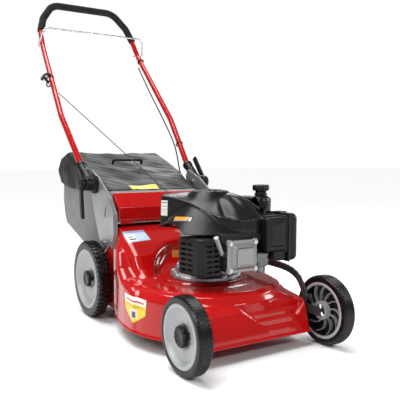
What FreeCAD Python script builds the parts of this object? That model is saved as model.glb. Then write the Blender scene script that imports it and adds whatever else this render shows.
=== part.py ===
import FreeCAD, Part
import math
import os
import Sketcher

# A petrol push lawn mower. Units are millimetres, +Z is up and the floor is z = 0.
# The mower's nose faces -Y and its operator stands at +Y, so +X is the operator's left.
# Every sub-part is drawn about the crankshaft's axis, and its Placement then moves it by crank_y,
# which puts the frame's origin under the middle of the whole machine.

Vector = FreeCAD.Vector
X_AXIS, Y_AXIS, Z_AXIS = Vector(1, 0, 0), Vector(0, 1, 0), Vector(0, 0, 1)

DRIVING = {
    "crank_y": -338.4,
    # wheels
    "front_radius": 100, "rear_radius": 128, "front_y": -280, "rear_y": 360,
    "front_rim": 80, "rear_rim": 99, "tyre_inner_x": 212, "tyre_width": 40,
    "hub_radius": 17, "stub_radius": 6, "cap_radius": 30,
    # cranked axles and their link
    "pivot_front_y": -225, "pivot_front_z": 100, "pivot_rear_y": 415, "pivot_rear_z": 128,
    "bar_radius": 7, "arm_x": 199, "arm_thick": 4, "arm_width": 26, "link_rise": 30, "link_thick": 3,
    "run_gap": 0.05,
    # deck
    "sheet_steel": 3, "skirt_z": 40, "pad_z": 176, "chamber_radius": 250, "recess_radius": 152,
    "nose_half": 188, "tail_half": 194, "flap_y": 243, "flap_z": 318,
    # engine
    "base_radius": 107, "base_thick": 12, "case_radius": 76, "case_top": 318, "shaft_radius": 12.5,
    "cover_y": -208, "cover_width": 104, "cover_height": 94, "cover_z": 216,
    "cowl_z": 322, "cowl_top": 442, "cowl_skin": 3,
    "flywheel_radius": 84, "pulley_radius": 45,
    # blade
    "blade_length": 456, "blade_width": 52, "blade_thick": 4, "blade_z": 62,
    # handle
    "hinge_y": 403, "hinge_z": 447, "tube_radius": 11, "grip_radius": 15, "hinge_half": 219,
    "plate_x": 194.1, "plate_thick": 3,
    # bag
    "bag_half": 181, "bag_tail_half": 200, "bag_skin": 3,
}

doc = FreeCAD.newDocument("push_mower")
sheet = doc.addObject("Spreadsheet::Sheet", "Dims")
for row, (alias, number) in enumerate(DRIVING.items(), start=1):
    sheet.set("A%d" % row, alias)
    sheet.set("B%d" % row, str(number))
    sheet.setAlias("B%d" % row, alias)
doc.recompute()


class Size:
    """A number together with the sheet expression that gives it."""

    def __init__(self, value, text):
        self.value = float(value)
        self.text = text

    def __add__(self, other):
        other = size(other)
        return Size(self.value + other.value, "(%s + %s)" % (self.text, other.text))

    def __sub__(self, other):
        other = size(other)
        return Size(self.value - other.value, "(%s - %s)" % (self.text, other.text))

    def __mul__(self, other):
        other = size(other)
        return Size(self.value * other.value, "(%s * %s)" % (self.text, other.text))

    def __truediv__(self, other):
        other = size(other)
        return Size(self.value / other.value, "(%s / %s)" % (self.text, other.text))

    def __neg__(self):
        return Size(-self.value, "(0 - %s)" % self.text)

    def __radd__(self, other):
        return size(other) + self

    def __rsub__(self, other):
        return size(other) - self

    def __rmul__(self, other):
        return size(other) * self


def size(number):
    return number if isinstance(number, Size) else Size(number, "(%s)" % repr(float(number)))


def dim(alias):
    return Size(sheet.get(alias), "Dims." + alias)


def value(number):
    return size(number).value


CRANK_Y = dim("crank_y")
parts = []


def bind(thing, path, number):
    thing.setExpression(path, size(number).text)


def keep(thing, label):
    """Names a finished sub-part and marks it for writing."""
    thing.Label = label
    parts.append(thing)
    return thing


def place(thing, x, y, z, rotation=None):
    base = Vector(value(x), value(y) + CRANK_Y.value, value(z))
    thing.Placement = FreeCAD.Placement(base, rotation or FreeCAD.Rotation())
    bind(thing, "Placement.Base.x", x)
    bind(thing, "Placement.Base.y", CRANK_Y + y)
    bind(thing, "Placement.Base.z", z)
    return thing


TURNS = {"x": FreeCAD.Rotation(Y_AXIS, 90), "y": FreeCAD.Rotation(X_AXIS, -90), "z": FreeCAD.Rotation()}


def rod(axis, x, y, z, radius, length):
    """A cylinder that starts at (x, y, z) and runs along +axis."""
    thing = doc.addObject("Part::Cylinder", "rod")
    bind(thing, "Radius", radius)
    bind(thing, "Height", length)
    return place(thing, x, y, z, TURNS[axis])


def cone(axis, x, y, z, radius, end_radius, length):
    thing = doc.addObject("Part::Cone", "cone")
    bind(thing, "Radius1", radius)
    bind(thing, "Radius2", end_radius)
    bind(thing, "Height", length)
    return place(thing, x, y, z, TURNS[axis])


def block(x, y, z, width, depth, height, rotation=None):
    """A box whose lowest corner is (x, y, z)."""
    thing = doc.addObject("Part::Box", "block")
    bind(thing, "Length", width)
    bind(thing, "Width", depth)
    bind(thing, "Height", height)
    return place(thing, x, y, z, rotation)


def fuse(*pieces):
    thing = doc.addObject("Part::MultiFuse", "fused")
    thing.Shapes = list(pieces)
    return thing


def group(*pieces):
    """Separate solids that share one node, such as identical fasteners."""
    thing = doc.addObject("Part::Compound", "group")
    thing.Links = list(pieces)
    return thing


def cut(base, *tools):
    thing = doc.addObject("Part::Cut", "cut")
    thing.Base = base
    thing.Tool = tools[0] if len(tools) == 1 else fuse(*tools)
    return thing


def new_body(name):
    body = doc.addObject("PartDesign::Body", name)
    bind(body, "Placement.Base.y", CRANK_Y)
    return body


def new_sketch(body, plane, offset=0):
    sketch = body.newObject("Sketcher::SketchObject", body.Name + "_sketch")
    support = [item for item in body.Origin.OriginFeatures if item.Role == plane][0]
    sketch.AttachmentSupport = [(support, "")]
    sketch.MapMode = "FlatFace"
    bind(sketch, "AttachmentOffset.Base.z", offset)
    return sketch


def pin_point(sketch, index, point, corner):
    """Holds one point of a sketch at a place that the sheet gives."""
    for kind, number in (("DistanceX", corner[0]), ("DistanceY", corner[1])):
        constraint = Sketcher.Constraint(kind, -1, 1, index, point, value(number))
        bind(sketch, "Constraints[%d]" % sketch.addConstraint(constraint), number)


def draw_polygon(sketch, corners):
    first = sketch.GeometryCount
    points = [Vector(value(a), value(b), 0) for a, b in corners]
    count = len(points)
    for i in range(count):
        sketch.addGeometry(Part.LineSegment(points[i], points[(i + 1) % count]), False)
    for i in range(count):
        joint = Sketcher.Constraint("Coincident", first + i, 2, first + (i + 1) % count, 1)
        sketch.addConstraint(joint)
        pin_point(sketch, first + i, 1, corners[i])


def draw_circle(sketch, centre, radius):
    middle = Vector(value(centre[0]), value(centre[1]), 0)
    index = sketch.addGeometry(Part.Circle(middle, Z_AXIS, value(radius)), False)
    pin_point(sketch, index, 3, centre)
    constraint = Sketcher.Constraint("Radius", index, value(radius))
    bind(sketch, "Constraints[%d]" % sketch.addConstraint(constraint), radius)


def prism(name, plane, corners, length, offset=0, middle=False, holes=()):
    """A body padded from a polygon, with round holes through it."""
    body = new_body(name)
    sketch = new_sketch(body, plane, offset)
    draw_polygon(sketch, corners)
    for centre, radius in holes:
        draw_circle(sketch, centre, radius)
    pad = body.newObject("PartDesign::Pad", name + "_pad")
    pad.Profile = sketch
    bind(pad, "Length", length)
    pad.Midplane = middle
    doc.recompute()
    return body


def lathe(name, plane, corners, axis):
    """A body turned from a polygon about the sketch's own H or V axis."""
    body = new_body(name)
    sketch = new_sketch(body, plane)
    draw_polygon(sketch, corners)
    turn = body.newObject("PartDesign::Revolution", name + "_turn")
    turn.Profile = sketch
    turn.ReferenceAxis = (sketch, [axis])
    turn.Angle = 360
    doc.recompute()
    return body


def round_edges(body, radius, wanted):
    """Fillets the edges of a body's tip that wanted() picks."""
    tip = body.Tip
    names = ["Edge%d" % (i + 1) for i, edge in enumerate(tip.Shape.Edges) if wanted(edge)]
    fillet = body.newObject("PartDesign::Fillet", body.Name + "_fillet")
    fillet.Base = (tip, names)
    bind(fillet, "Radius", radius)
    doc.recompute()
    return body


def runs_along(axis):
    def wanted(edge):
        ends = edge.Vertexes
        if len(ends) != 2 or not isinstance(edge.Curve, Part.Line):
            return False
        way = ends[1].Point.sub(ends[0].Point)
        return way.Length > 0 and abs(way.normalize().dot(axis)) > 0.999
    return wanted


def coded(label, shape):
    """A sub-part whose shape is made by Part's own functions."""
    thing = doc.addObject("Part::Feature", "coded")
    thing.Shape = shape
    thing.Placement = FreeCAD.Placement(Vector(0, CRANK_Y.value, 0), FreeCAD.Rotation())
    return keep(thing, label) if label else thing


def bent_path(points, radii):
    """Straight runs joined by tangent arcs; radii has one value for each inner point."""
    edges = []
    start = Vector(*points[0])
    for i in range(1, len(points) - 1):
        corner = Vector(*points[i])
        back = Vector(*points[i - 1]).sub(corner)
        ahead = Vector(*points[i + 1]).sub(corner)
        back.normalize()
        ahead.normalize()
        half_turn = (math.pi - back.getAngle(ahead)) / 2
        reach = radii[i - 1] * math.tan(half_turn)
        entry = corner + back * reach
        leave = corner + ahead * reach
        inward = (back + ahead).normalize()
        middle = corner + inward * (radii[i - 1] / math.cos(half_turn) - radii[i - 1])
        edges.append(Part.LineSegment(start, entry).toShape())
        edges.append(Part.Arc(entry, middle, leave).toShape())
        start = leave
    edges.append(Part.LineSegment(start, Vector(*points[-1])).toShape())
    return Part.Wire(edges)


def swept(path, radius, hollow=0):
    """A round tube or rod along a path."""
    edge = path.Edges[0]
    start = edge.valueAt(edge.FirstParameter)
    way = edge.tangentAt(edge.FirstParameter)
    ring = Part.Wire([Part.makeCircle(radius, start, way)])
    solid = path.makePipeShell([ring], True, False)
    if hollow:
        bore = Part.Wire([Part.makeCircle(hollow, start, way)])
        solid = solid.cut(path.makePipeShell([bore], True, False))
    return solid


def cord(label, points, radius):
    """A cord's tube: each arc is as large as its two runs allow."""
    radii = []
    for i in range(1, len(points) - 1):
        corner = Vector(*points[i])
        back = Vector(*points[i - 1]).sub(corner)
        ahead = Vector(*points[i + 1]).sub(corner)
        half_turn = (math.pi - back.getAngle(ahead)) / 2
        radii.append(0.45 * min(back.Length, ahead.Length) / math.tan(half_turn))
    path = bent_path(points, radii)
    solid = swept(path, radius)
    print("%s: length %.0f, volume over section x length %.3f, radii %s" % (
        label, path.Length, solid.Volume / (math.pi * radius ** 2 * path.Length),
        [round(radius_here) for radius_here in radii]))
    return coded(label, solid)


# ---------------------------------------------------------------- deck
STEEL = dim("sheet_steel")
SKIRT_Z, PAD_Z = dim("skirt_z"), dim("pad_z")
FLAP_Y, FLAP_Z = dim("flap_y"), dim("flap_z")


def deck_form(name, inset, below):
    """The pressed form of the deck, shrunk by inset all round and carried down by below."""
    chamber = dim("chamber_radius") - inset
    low = SKIRT_Z - below
    dome = lathe(name + "_chamber", "XZ_Plane", [
        (0, low), (chamber, low), (chamber - 3, SKIRT_Z + 25), (chamber - 12, SKIRT_Z + 100),
        (chamber - 26, PAD_Z - 17 - inset), (chamber - 42, PAD_Z - 10 - inset),
        (126, PAD_Z - 6 - inset), (120, PAD_Z - inset), (0, PAD_Z - inset)], "V_Axis")
    nose = prism(name + "_nose", "YZ_Plane", [
        (0, low), (-268 + inset, low), (-262 + inset, 62), (-245 + inset, 108 - inset / 2),
        (-222 + inset / 2, 134 - inset), (-175, 152 - inset), (-100, PAD_Z - 14 - inset),
        (0, PAD_Z - 12 - inset)], 2 * (dim("nose_half") - inset), middle=True)
    tail_end = 440 - inset
    tail_top = FLAP_Z - 4 - inset
    shut = [(tail_end, 150), (FLAP_Y + 2, FLAP_Z - 4)]
    open_end = [(tail_end, 147), (475, 147), (475, 330), (FLAP_Y + 2, 330), (FLAP_Y + 2, tail_top)]
    tail = prism(name + "_tail", "YZ_Plane", [(0, low), (tail_end, low)] + (open_end if below else shut) + [
        (212, 301 - inset), (150, 268 - inset), (108, 236 - inset), (78, 200 - inset),
        (40, PAD_Z - 8 - inset), (0, PAD_Z - 12 - inset)], 2 * (dim("tail_half") - inset), middle=True)
    recess = rod("z", 0, 0, PAD_Z - inset, dim("recess_radius") + inset, 200)
    return fuse(dome, nose, cut(tail, recess))


def both_sides(make):
    """The pieces that make(side) gives for the right side (-1) and the left (+1)."""
    return [make(side) for side in (-1, 1)]


BAR_R = dim("bar_radius")
PIVOTS = {"front": (dim("pivot_front_y"), dim("pivot_front_z"), dim("nose_half")),
          "rear": (dim("pivot_rear_y"), dim("pivot_rear_z"), dim("tail_half"))}
BRACKET_BOLTS = [(258, 262), (330, 250)]
BASE_BOLT_RING = 98
BASE_BOLT_ANGLES = (40, 140, 220, 320)
BOLT_R = 4


def base_bolt_places():
    return [(BASE_BOLT_RING * math.cos(math.radians(a)), BASE_BOLT_RING * math.sin(math.radians(a)))
            for a in BASE_BOLT_ANGLES]


def make_deck():
    holes = [rod("z", 0, 0, PAD_Z - 20, 46, 40)]
    for y, z, wall in PIVOTS.values():
        holes.append(rod("x", -wall - 10, y, z, BAR_R + 3, 2 * wall + 20))
    for y, z in BRACKET_BOLTS:
        holes.append(rod("x", -210, y, z, BOLT_R + 0.1, 420))
    for x, y in base_bolt_places():
        holes.append(rod("z", x, y, PAD_Z - 20, BOLT_R + 0.1, 40))
    skin = cut(deck_form("outer", size(0), 0), deck_form("inner", STEEL, 15))
    keep(cut(skin, *holes), "deck")


def make_axle_bushes():
    rings = []
    for y, z, wall in PIVOTS.values():
        for side in (-1, 1):
            start = wall * side - (6 if side > 0 else -1)
            rings.append(cut(rod("x", start, y, z, BAR_R + 2.9, 5),
                             rod("x", start - 1, y, z, BAR_R + dim("run_gap"), 7)))
    keep(group(*rings), "axle_bushes")


# ---------------------------------------------------------------- handle brackets and flap
PLATE_X, PLATE_T = dim("plate_x"), dim("plate_thick")
HINGE_Y, HINGE_Z = dim("hinge_y"), dim("hinge_z")
PIN_R = 5
FLANGE_W = 12
LIP_W = 5.5


def make_bracket(side, label):
    """A pressed plate with a flange along its front edge, narrower where the handle folds past."""
    edge = [(237, 242), (220, 290), (220, 356), (258, 403), (330, 448), (362, 467), (400, 480), (436, 494)]
    back = [(452, 470), (448, 420), (425, 360), (395, 300), (362, 242)]
    start = PLATE_X if side > 0 else -PLATE_X - PLATE_T
    plate = prism(label + "_plate", "YZ_Plane", edge + back, PLATE_T, start,
                  holes=[((HINGE_Y, HINGE_Z), PIN_R + 0.1)]
                  + [(spot, BOLT_R + 0.1) for spot in BRACKET_BOLTS])
    flange_start = PLATE_X + PLATE_T if side > 0 else -PLATE_X - PLATE_T - FLANGE_W
    inner = [(y + 3, z - 1.5) for y, z in edge[:6]]
    flange = prism(label + "_flange", "YZ_Plane", edge[:4] + inner[3::-1], FLANGE_W, flange_start)
    lip_start = PLATE_X + PLATE_T if side > 0 else -PLATE_X - PLATE_T - LIP_W
    lip = prism(label + "_lip", "YZ_Plane", edge[3:6] + inner[5:2:-1], LIP_W, lip_start)
    slot = block(-220 if side < 0 else 180, 318, 338, 40, 7, 34, FreeCAD.Rotation(X_AXIS, 14))
    keep(cut(fuse(plate, flange, lip), slot), label)


def make_flap():
    """An L-shaped pressed flap that hangs on a rod at its front lower edge."""
    outline = [(FLAP_Y - 3, FLAP_Z + 9), (FLAP_Y - 3, 374), (FLAP_Y + 42, 420), (FLAP_Y + 44, 418),
               (FLAP_Y - 0.5, 373), (FLAP_Y - 0.5, FLAP_Z + 9)]
    sheet_body = prism("flap_sheet", "YZ_Plane", outline, 2 * size(180), middle=True)
    knuckles = [rod("x", x, FLAP_Y, FLAP_Z + 6, 6, 40) for x in (-175, -20, 135)]
    bores = [rod("x", -190, FLAP_Y, FLAP_Z + 6, 4 + dim("run_gap"), 380)]
    keep(cut(fuse(sheet_body, *knuckles), *bores), "flap")
    keep(rod("x", -PLATE_X, FLAP_Y, FLAP_Z + 6, 4, 2 * PLATE_X), "flap_rod")


# ---------------------------------------------------------------- wheels and axles
def make_wheel(label, end, side):
    radius, rim = dim(end + "_radius"), dim(end + "_rim")
    y, z = dim(end + "_y"), radius
    inner, width = dim("tyre_inner_x"), dim("tyre_width")

    def ring(depth, length, outer_radius, bore_radius=None):
        """A ring that starts depth outward of the tyre's inner face and is length wide."""
        start = inner + depth if side > 0 else -inner - depth - length
        outer = rod("x", start, y, z, outer_radius, length)
        if bore_radius is None:
            return outer
        return cut(outer, rod("x", start - 1, y, z, bore_radius, length + 2))

    crown = doc.addObject("Part::Fillet", "tyre_shoulders")
    tread = rod("x", inner if side > 0 else -inner - width, y, z, radius, width)
    doc.recompute()
    crown.Base = tread
    crown.Edges = [(i + 1, 6, 6) for i, edge in enumerate(tread.Shape.Edges)
                   if isinstance(edge.Curve, Part.Circle)]
    tyre_bore = rod("x", (inner if side > 0 else -inner - width) - 1, y, z, rim, width + 2)
    keep(cut(crown, tyre_bore), "tyre_" + label)
    rim_fit = rim - 0.05
    web_depth = width - 12
    stub = dim("stub_radius") + dim("run_gap")
    spokes = []
    for k in range(10):
        turn = FreeCAD.Rotation(X_AXIS, 36 * k)
        spoke = block(inner + 8 if side > 0 else -inner - web_depth, y, z, web_depth - 8, 3,
                      rim - 10, turn)
        spokes.append(spoke)
    cap_start = web_depth + 7.1
    body = fuse(ring(1, width - 3, rim_fit, rim - 7), ring(web_depth, 5, rim - 6),
                ring(1, web_depth + 6, dim("hub_radius")), *spokes)
    keep(cut(body, ring(0, width + 2, stub)), "wheel_" + label)
    keep(ring(cap_start, width - cap_start - 1, dim("cap_radius")), "hub_cap_" + label)


def arm_between(y1, z1, y2, z2, x, thick, width):
    """A flat bar with round ends that joins two pivots in a plane of constant x."""
    dy, dz = value(y2) - value(y1), value(z2) - value(z1)
    length = math.hypot(dy, dz)
    angle = math.degrees(math.atan2(dz, dy))
    turn = FreeCAD.Rotation(X_AXIS, angle)
    half = size(width) / 2
    drop = turn.multVec(Vector(0, 0, -half.value))
    bar = block(x, size(y1) + drop.y, size(z1) + drop.z, thick, length, width, turn)
    return [bar, rod("x", x, y1, z1, half, thick), rod("x", x, y2, z2, half, thick)]


def make_axle(label, end):
    """A bar across the deck with a crank arm and a wheel stub at each side."""
    pivot_y, pivot_z, wall = PIVOTS[end]
    y, z = dim(end + "_y"), dim(end + "_radius")
    arm_x, thick = dim("arm_x"), dim("arm_thick")
    pieces = [rod("x", -arm_x - thick, pivot_y, pivot_z, BAR_R, 2 * (arm_x + thick))]
    for side in (-1, 1):
        start = arm_x if side > 0 else -arm_x - thick
        pieces += arm_between(pivot_y, pivot_z, y, z, start, thick, dim("arm_width"))
        stub_start = arm_x if side > 0 else -dim("tyre_inner_x") - 32
        pieces.append(rod("x", stub_start, y, z, dim("stub_radius"), dim("tyre_inner_x") + 32 - arm_x))
    rise = pivot_z + dim("link_rise")
    pieces += arm_between(pivot_y, pivot_z, pivot_y, rise, arm_x, thick, 18)
    pieces.append(rod("x", arm_x, pivot_y, rise, 3.5, thick + dim("link_thick") + 1))
    keep(fuse(*pieces), label)


def make_height_lever():
    """A flat lever on the rear axle's left crank, stepped outward above the tyre, with a knob."""
    y, z = dim("pivot_rear_y"), dim("pivot_rear_z")
    crank_face = dim("arm_x") + dim("arm_thick")
    low_x, high_x = crank_face + 4.3, crank_face + 11
    pieces = [rod("x", crank_face, y, z, 8, 5)]
    pieces += arm_between(y, z, y + 49, z + 189, low_x, 3, 16)
    pieces += arm_between(y + 49, z + 189, y + 62, z + 240, high_x, 3, 16)
    pieces.append(rod("x", low_x, y + 49, z + 189, 8, high_x + 3 - low_x))
    pieces.append(rod("x", high_x + 2.9, y + 62, z + 240, 12, 22))
    keep(fuse(*pieces), "height_lever")


LINK_POINTS = [(-225, 130), (-212, 158), (-194, 184), (-150, 203), (-60, 207), (190, 207), (330, 200),
               (415, 158)]


def make_height_link():
    """A flat strap that follows the deck's shoulder between the two crank pins."""
    x = dim("arm_x") + dim("arm_thick") + 0.5
    thick = dim("link_thick")
    pieces = []
    for (y1, z1), (y2, z2) in zip(LINK_POINTS, LINK_POINTS[1:]):
        pieces += arm_between(y1, z1, y2, z2, x, thick, 13)
    ends = [LINK_POINTS[0], LINK_POINTS[-1]]
    keep(cut(fuse(*pieces), *[rod("x", x - 1, y, z, 3.7, 8) for y, z in ends]), "height_link")


# ---------------------------------------------------------------- engine
SHAFT_R = dim("shaft_radius")
COVER_Y, COVER_Z = dim("cover_y"), dim("cover_z")
COVER_W, COVER_H = dim("cover_width"), dim("cover_height")


def make_crankcase():
    case, base, top = dim("case_radius"), dim("base_radius"), dim("case_top")
    bore = SHAFT_R + dim("run_gap")
    body = lathe("crankcase_body", "XZ_Plane", [
        (bore, PAD_Z), (base, PAD_Z), (base, PAD_Z + dim("base_thick")), (base - 12, PAD_Z + 15),
        (base - 16, PAD_Z + 30), (case, PAD_Z + 38), (case, top), (bore, top)], "V_Axis")
    spout = rod("z", 96, 66, PAD_Z + 6, 13, 56)
    brake_post = rod("z", -30, 92, PAD_Z + 6, 4, 304 + 3 - PAD_Z - 6)
    brake_seat = rod("z", -30, 92, PAD_Z + 6, 7, 299.8 - PAD_Z - 6)
    holes = [rod("z", x, y, PAD_Z - 5, BOLT_R + 0.1, 60) for x, y in base_bolt_places()]
    pockets = [rod("z", x, y, PAD_Z + dim("base_thick"), 10, 60) for x, y in base_bolt_places()]
    filler_bore = rod("z", 96, 66, PAD_Z + 20, 8.2, 60)
    keep(cut(fuse(body, spout, brake_post, brake_seat), *(holes + pockets), filler_bore), "crankcase")


def make_cylinder_block():
    start_y = -148
    core = rod("y", 0, start_y, 262, 36, 73)
    fins = [block(-46, start_y + 2, 222 + 12 * i, 92, 68, 4) for i in range(8)]
    head = block(-COVER_W / 2 + 4, COVER_Y + 20, COVER_Z + 4, COVER_W - 8, 44, COVER_H - 8)
    plug_boss = rod("x", -64, -184, 270, 7, 20)
    case = rod("z", 0, 0, PAD_Z + 30, dim("case_radius") + 0.1, 150)
    cover_room = block(-COVER_W / 2 - 1, COVER_Y - 2, COVER_Z - 1, COVER_W + 2, 22.1, COVER_H + 2)
    keep(cut(fuse(core, head, plug_boss, *fins), case, cover_room), "cylinder_block")


def cover_bolt_places():
    inset = 10
    return [(sx * (COVER_W.value / 2 - inset), COVER_Z.value + COVER_H.value / 2
             + sz * (COVER_H.value / 2 - inset)) for sx in (-1, 1) for sz in (-1, 1)]


def make_valve_cover():
    half = COVER_W / 2
    top = COVER_Z + COVER_H
    flange = prism("cover_flange", "XZ_Plane", [(-half, COVER_Z), (half, COVER_Z), (half, top), (-half, top)],
                   6, -COVER_Y - 20, holes=[(spot, BOLT_R + 0.1) for spot in cover_bolt_places()])
    round_edges(flange, 12, runs_along(Y_AXIS))
    inset = 13
    dome = prism("cover_dome", "XZ_Plane", [
        (-half + inset, COVER_Z + inset), (half - inset, COVER_Z + inset), (half - inset, top - inset),
        (-half + inset, top - inset)], 20, -COVER_Y - 20)
    round_edges(dome, 12, runs_along(Y_AXIS))
    keep(fuse(flange, dome), "valve_cover")


def make_bolts():
    """Bracket, engine base and valve cover bolts and the handle's two pivot bolts."""
    solids = []
    for y, z in BRACKET_BOLTS:
        for side in (-1, 1):
            head = PLATE_X + PLATE_T if side > 0 else -PLATE_X - PLATE_T - 6
            shank = PLATE_X - 12 if side > 0 else -PLATE_X - PLATE_T - 0.1
            solids.append(fuse(rod("x", head, y, z, 7, 6), rod("x", shank, y, z, BOLT_R, 15.1)))
    seat = PAD_Z + dim("base_thick")
    for x, y in base_bolt_places():
        solids.append(fuse(rod("z", x, y, seat, 7, 6), rod("z", x, y, seat - 20, BOLT_R, 21)))
    for side in (-1, 1):
        head = PLATE_X - 6 if side > 0 else -PLATE_X
        shank = PLATE_X - 1 if side > 0 else -size(257)
        solids.append(fuse(rod("x", head, HINGE_Y, HINGE_Z, 9, 6),
                           rod("x", shank, HINGE_Y, HINGE_Z, PIN_R, 258 - PLATE_X)))
    face = COVER_Y + 14
    for x, z in cover_bolt_places():
        solids.append(fuse(rod("y", x, face - 6, z, 6.5, 6), rod("y", x, face - 1, z, BOLT_R, 6.9)))
    keep(group(*solids), "bolts")


def make_muffler():
    box = prism("muffler_box", "XY_Plane", [(-118, -78), (-108, -140), (-100, -150), (-72, -158), (-66, -90)],
                74, 226)
    pipe = rod("x", -72, -150, 262, 10, 23.8)
    keep(fuse(box, pipe), "muffler")


def make_muffler_guard():
    outline = [(-131, -70), (-121, -146), (-108, -162), (-60, -175)]
    inner = [(-57, -172), (-106, -159), (-118, -145), (-128, -70)]
    wall = prism("guard_wall", "XY_Plane", outline + inner, 102, 208)
    lid = prism("guard_lid", "XY_Plane", [(-131, -70), (-121, -146), (-108, -162), (-60, -175), (-57, -172),
                                          (-60, -100), (-84, -70)], 3, 310)
    louvres = []
    for i in range(5):
        louvres.append(block(-140, -134, 226 + 15 * i, 30, 52, 6))
        louvres.append(block(-96, -190, 226 + 15 * i, 24, 40, 6))
    keep(cut(fuse(wall, lid), *louvres), "muffler_guard")


COWL_OUTLINE = [(-126, 60), (-73, -88), (-43, -145), (-2, -183), (52, -191), (102, -172), (130, -120),
                (137, 20), (104, 104), (-98, 108)]


def cowl_solid(scale, low, high, drop):
    """The blower housing's outer or inner form: an upright skirt, then a top that falls to the front."""
    middle = (4, -35)

    def ring(shrink, height_at):
        corners = []
        for x, y in COWL_OUTLINE:
            px = middle[0] + (x - middle[0]) * scale * shrink
            py = middle[1] + (y - middle[1]) * scale * shrink
            corners.append(Vector(px, py, height_at(py)))
        corners.append(corners[0])
        return Part.makePolygon(corners)

    def shoulder(y):
        return 352 + (y + 190) * 0.24 - drop

    skirt = [ring(1, lambda y: low), ring(1, shoulder), ring(0.72, lambda y: high - 12 + y * 0.02),
             ring(0.45, lambda y: high)]
    return Part.makeLoft(skirt, True, True)


def make_blower_housing():
    low, high, skin = value(dim("cowl_z")), value(dim("cowl_top")), value(dim("cowl_skin"))
    outer = cowl_solid(1.0, low, high, 0)
    inner = cowl_solid(0.965, low - 1, high - skin, skin)
    inner_skirt = cowl_solid(0.965, low - 20, high - skin, skin)
    post = Part.makeCylinder(7, 54, Vector(0, 0, high - 56))
    shell = outer.cut(inner.fuse(inner_skirt)).fuse(post)
    vents = [Part.makeBox(6, 34, 40, Vector(30 + 13 * i, -90, high - 30)) for i in range(4)]
    filter_room = Part.makeBox(90, 104, 120, Vector(73.5, -216, low - 40))
    for gap in vents + [filter_room]:
        shell = shell.cut(gap)
    coded("blower_housing", shell)


def make_rotor():
    """The crankshaft with everything that turns with it."""
    shaft_low = dim("blade_z") + 24
    keep(rod("z", 0, 0, shaft_low, SHAFT_R, 352 - shaft_low), "crankshaft")
    hub_bore = SHAFT_R + 0.05
    hub_low = dim("blade_z") + dim("blade_thick")
    hub = cut(fuse(rod("z", 0, 0, hub_low, 32, 10), rod("z", 0, 0, hub_low, 21, 44)),
              rod("z", 0, 0, hub_low + 20, hub_bore, 40), rod("z", 0, 0, hub_low - 1, 5.1, 30))
    keep(hub, "blade_hub")
    length, width, thick = dim("blade_length"), dim("blade_width"), dim("blade_thick")
    bar = block(-length / 2, -width / 2, dim("blade_z"), length, width, thick)
    wings = [block(100 if side > 0 else -length / 2, 12 if side > 0 else -width / 2,
                   dim("blade_z") + thick - 0.5, length / 2 - 100, 14, 14) for side in (-1, 1)]
    keep(cut(fuse(bar, *wings), rod("z", 0, 0, dim("blade_z") - 1, 5.1, 20)), "blade")
    bolt = fuse(rod("z", 0, 0, dim("blade_z") - 8, 10, 8), rod("z", 0, 0, dim("blade_z") - 1, 5, 24))
    keep(bolt, "blade_bolt")
    disc = dim("flywheel_radius")
    fins = []
    for k in range(12):
        turn = FreeCAD.Rotation(Z_AXIS, 30 * k)
        root = turn.multVec(Vector(0.55, 0, 0))
        fins.append(block(disc * root.x, disc * root.y, 340, disc * 0.42, 3, 16, turn))
    wheel = fuse(rod("z", 0, 0, 328, disc, 12.5), *fins)
    keep(cut(wheel, rod("z", 0, 0, 320, hub_bore, 60)), "flywheel")


def make_starter():
    """The rope pulley turns on the post under the blower housing's top."""
    top = dim("cowl_top")
    pulley = cut(rod("z", 0, 0, top - 66, dim("pulley_radius"), 16),
                 rod("z", 0, 0, top - 60, 7 + dim("run_gap"), 20))
    keep(pulley, "starter_pulley")


def make_tank():
    """A moulded tank at the engine's left with a filler neck."""
    tank = prism("tank_body", "XY_Plane", [(143, -96), (190, -84), (192, 40), (142, 48)], 92, 322)
    round_edges(tank, 14, runs_along(Z_AXIS))
    neck = rod("z", 158, -70, 413, 17, 22)
    dome = cone("z", 158, -70, 413, 28, 18, 14)
    keep(fuse(tank, neck, dome), "fuel_tank")
    cap = rod("z", 158, -70, 435.4, 26, 18)
    grips = [rod("z", 158 + 27 * math.cos(math.radians(a)), -70 + 27 * math.sin(math.radians(a)), 434, 3.5, 30)
             for a in range(0, 360, 45)]
    keep(cut(cap, *grips), "fuel_cap")
    keep(fuse(rod("z", 96, 66, PAD_Z + 62.4, 15, 12), rod("z", 96, 66, PAD_Z + 24, 8, 40)), "oil_cap")


def make_intake():
    """Carburettor, then the air filter's base, element and cover."""
    keep(fuse(block(54, -190, 226, 40, 34, 40), rod("x", 52, -172, 246, 12, 12),
              rod("z", 76, -174, 208, 15, 20)), "carburettor")
    base = cut(block(74, -212, 268, 70, 96, 102), block(84, -204, 278, 62, 80, 84))
    lower = block(100, -205, 238, 44, 84, 30)
    keep(fuse(base, lower), "air_filter_base")
    keep(block(118, -198, 284, 24, 68, 72), "air_filter_element")
    cover = prism("filter_cover_body", "YZ_Plane", [
        (-216, 250), (-206, 238), (-120, 238), (-108, 250), (-108, 360), (-120, 376), (-206, 376),
        (-216, 360)], 40, 146)
    round_edges(cover, 8, lambda edge: abs(edge.BoundBox.XMin - 186) < 0.01 and edge.BoundBox.XLength < 0.01)
    keep(cut(cover, block(140, -208, 246, 40, 92, 122)), "air_filter_cover")


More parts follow.
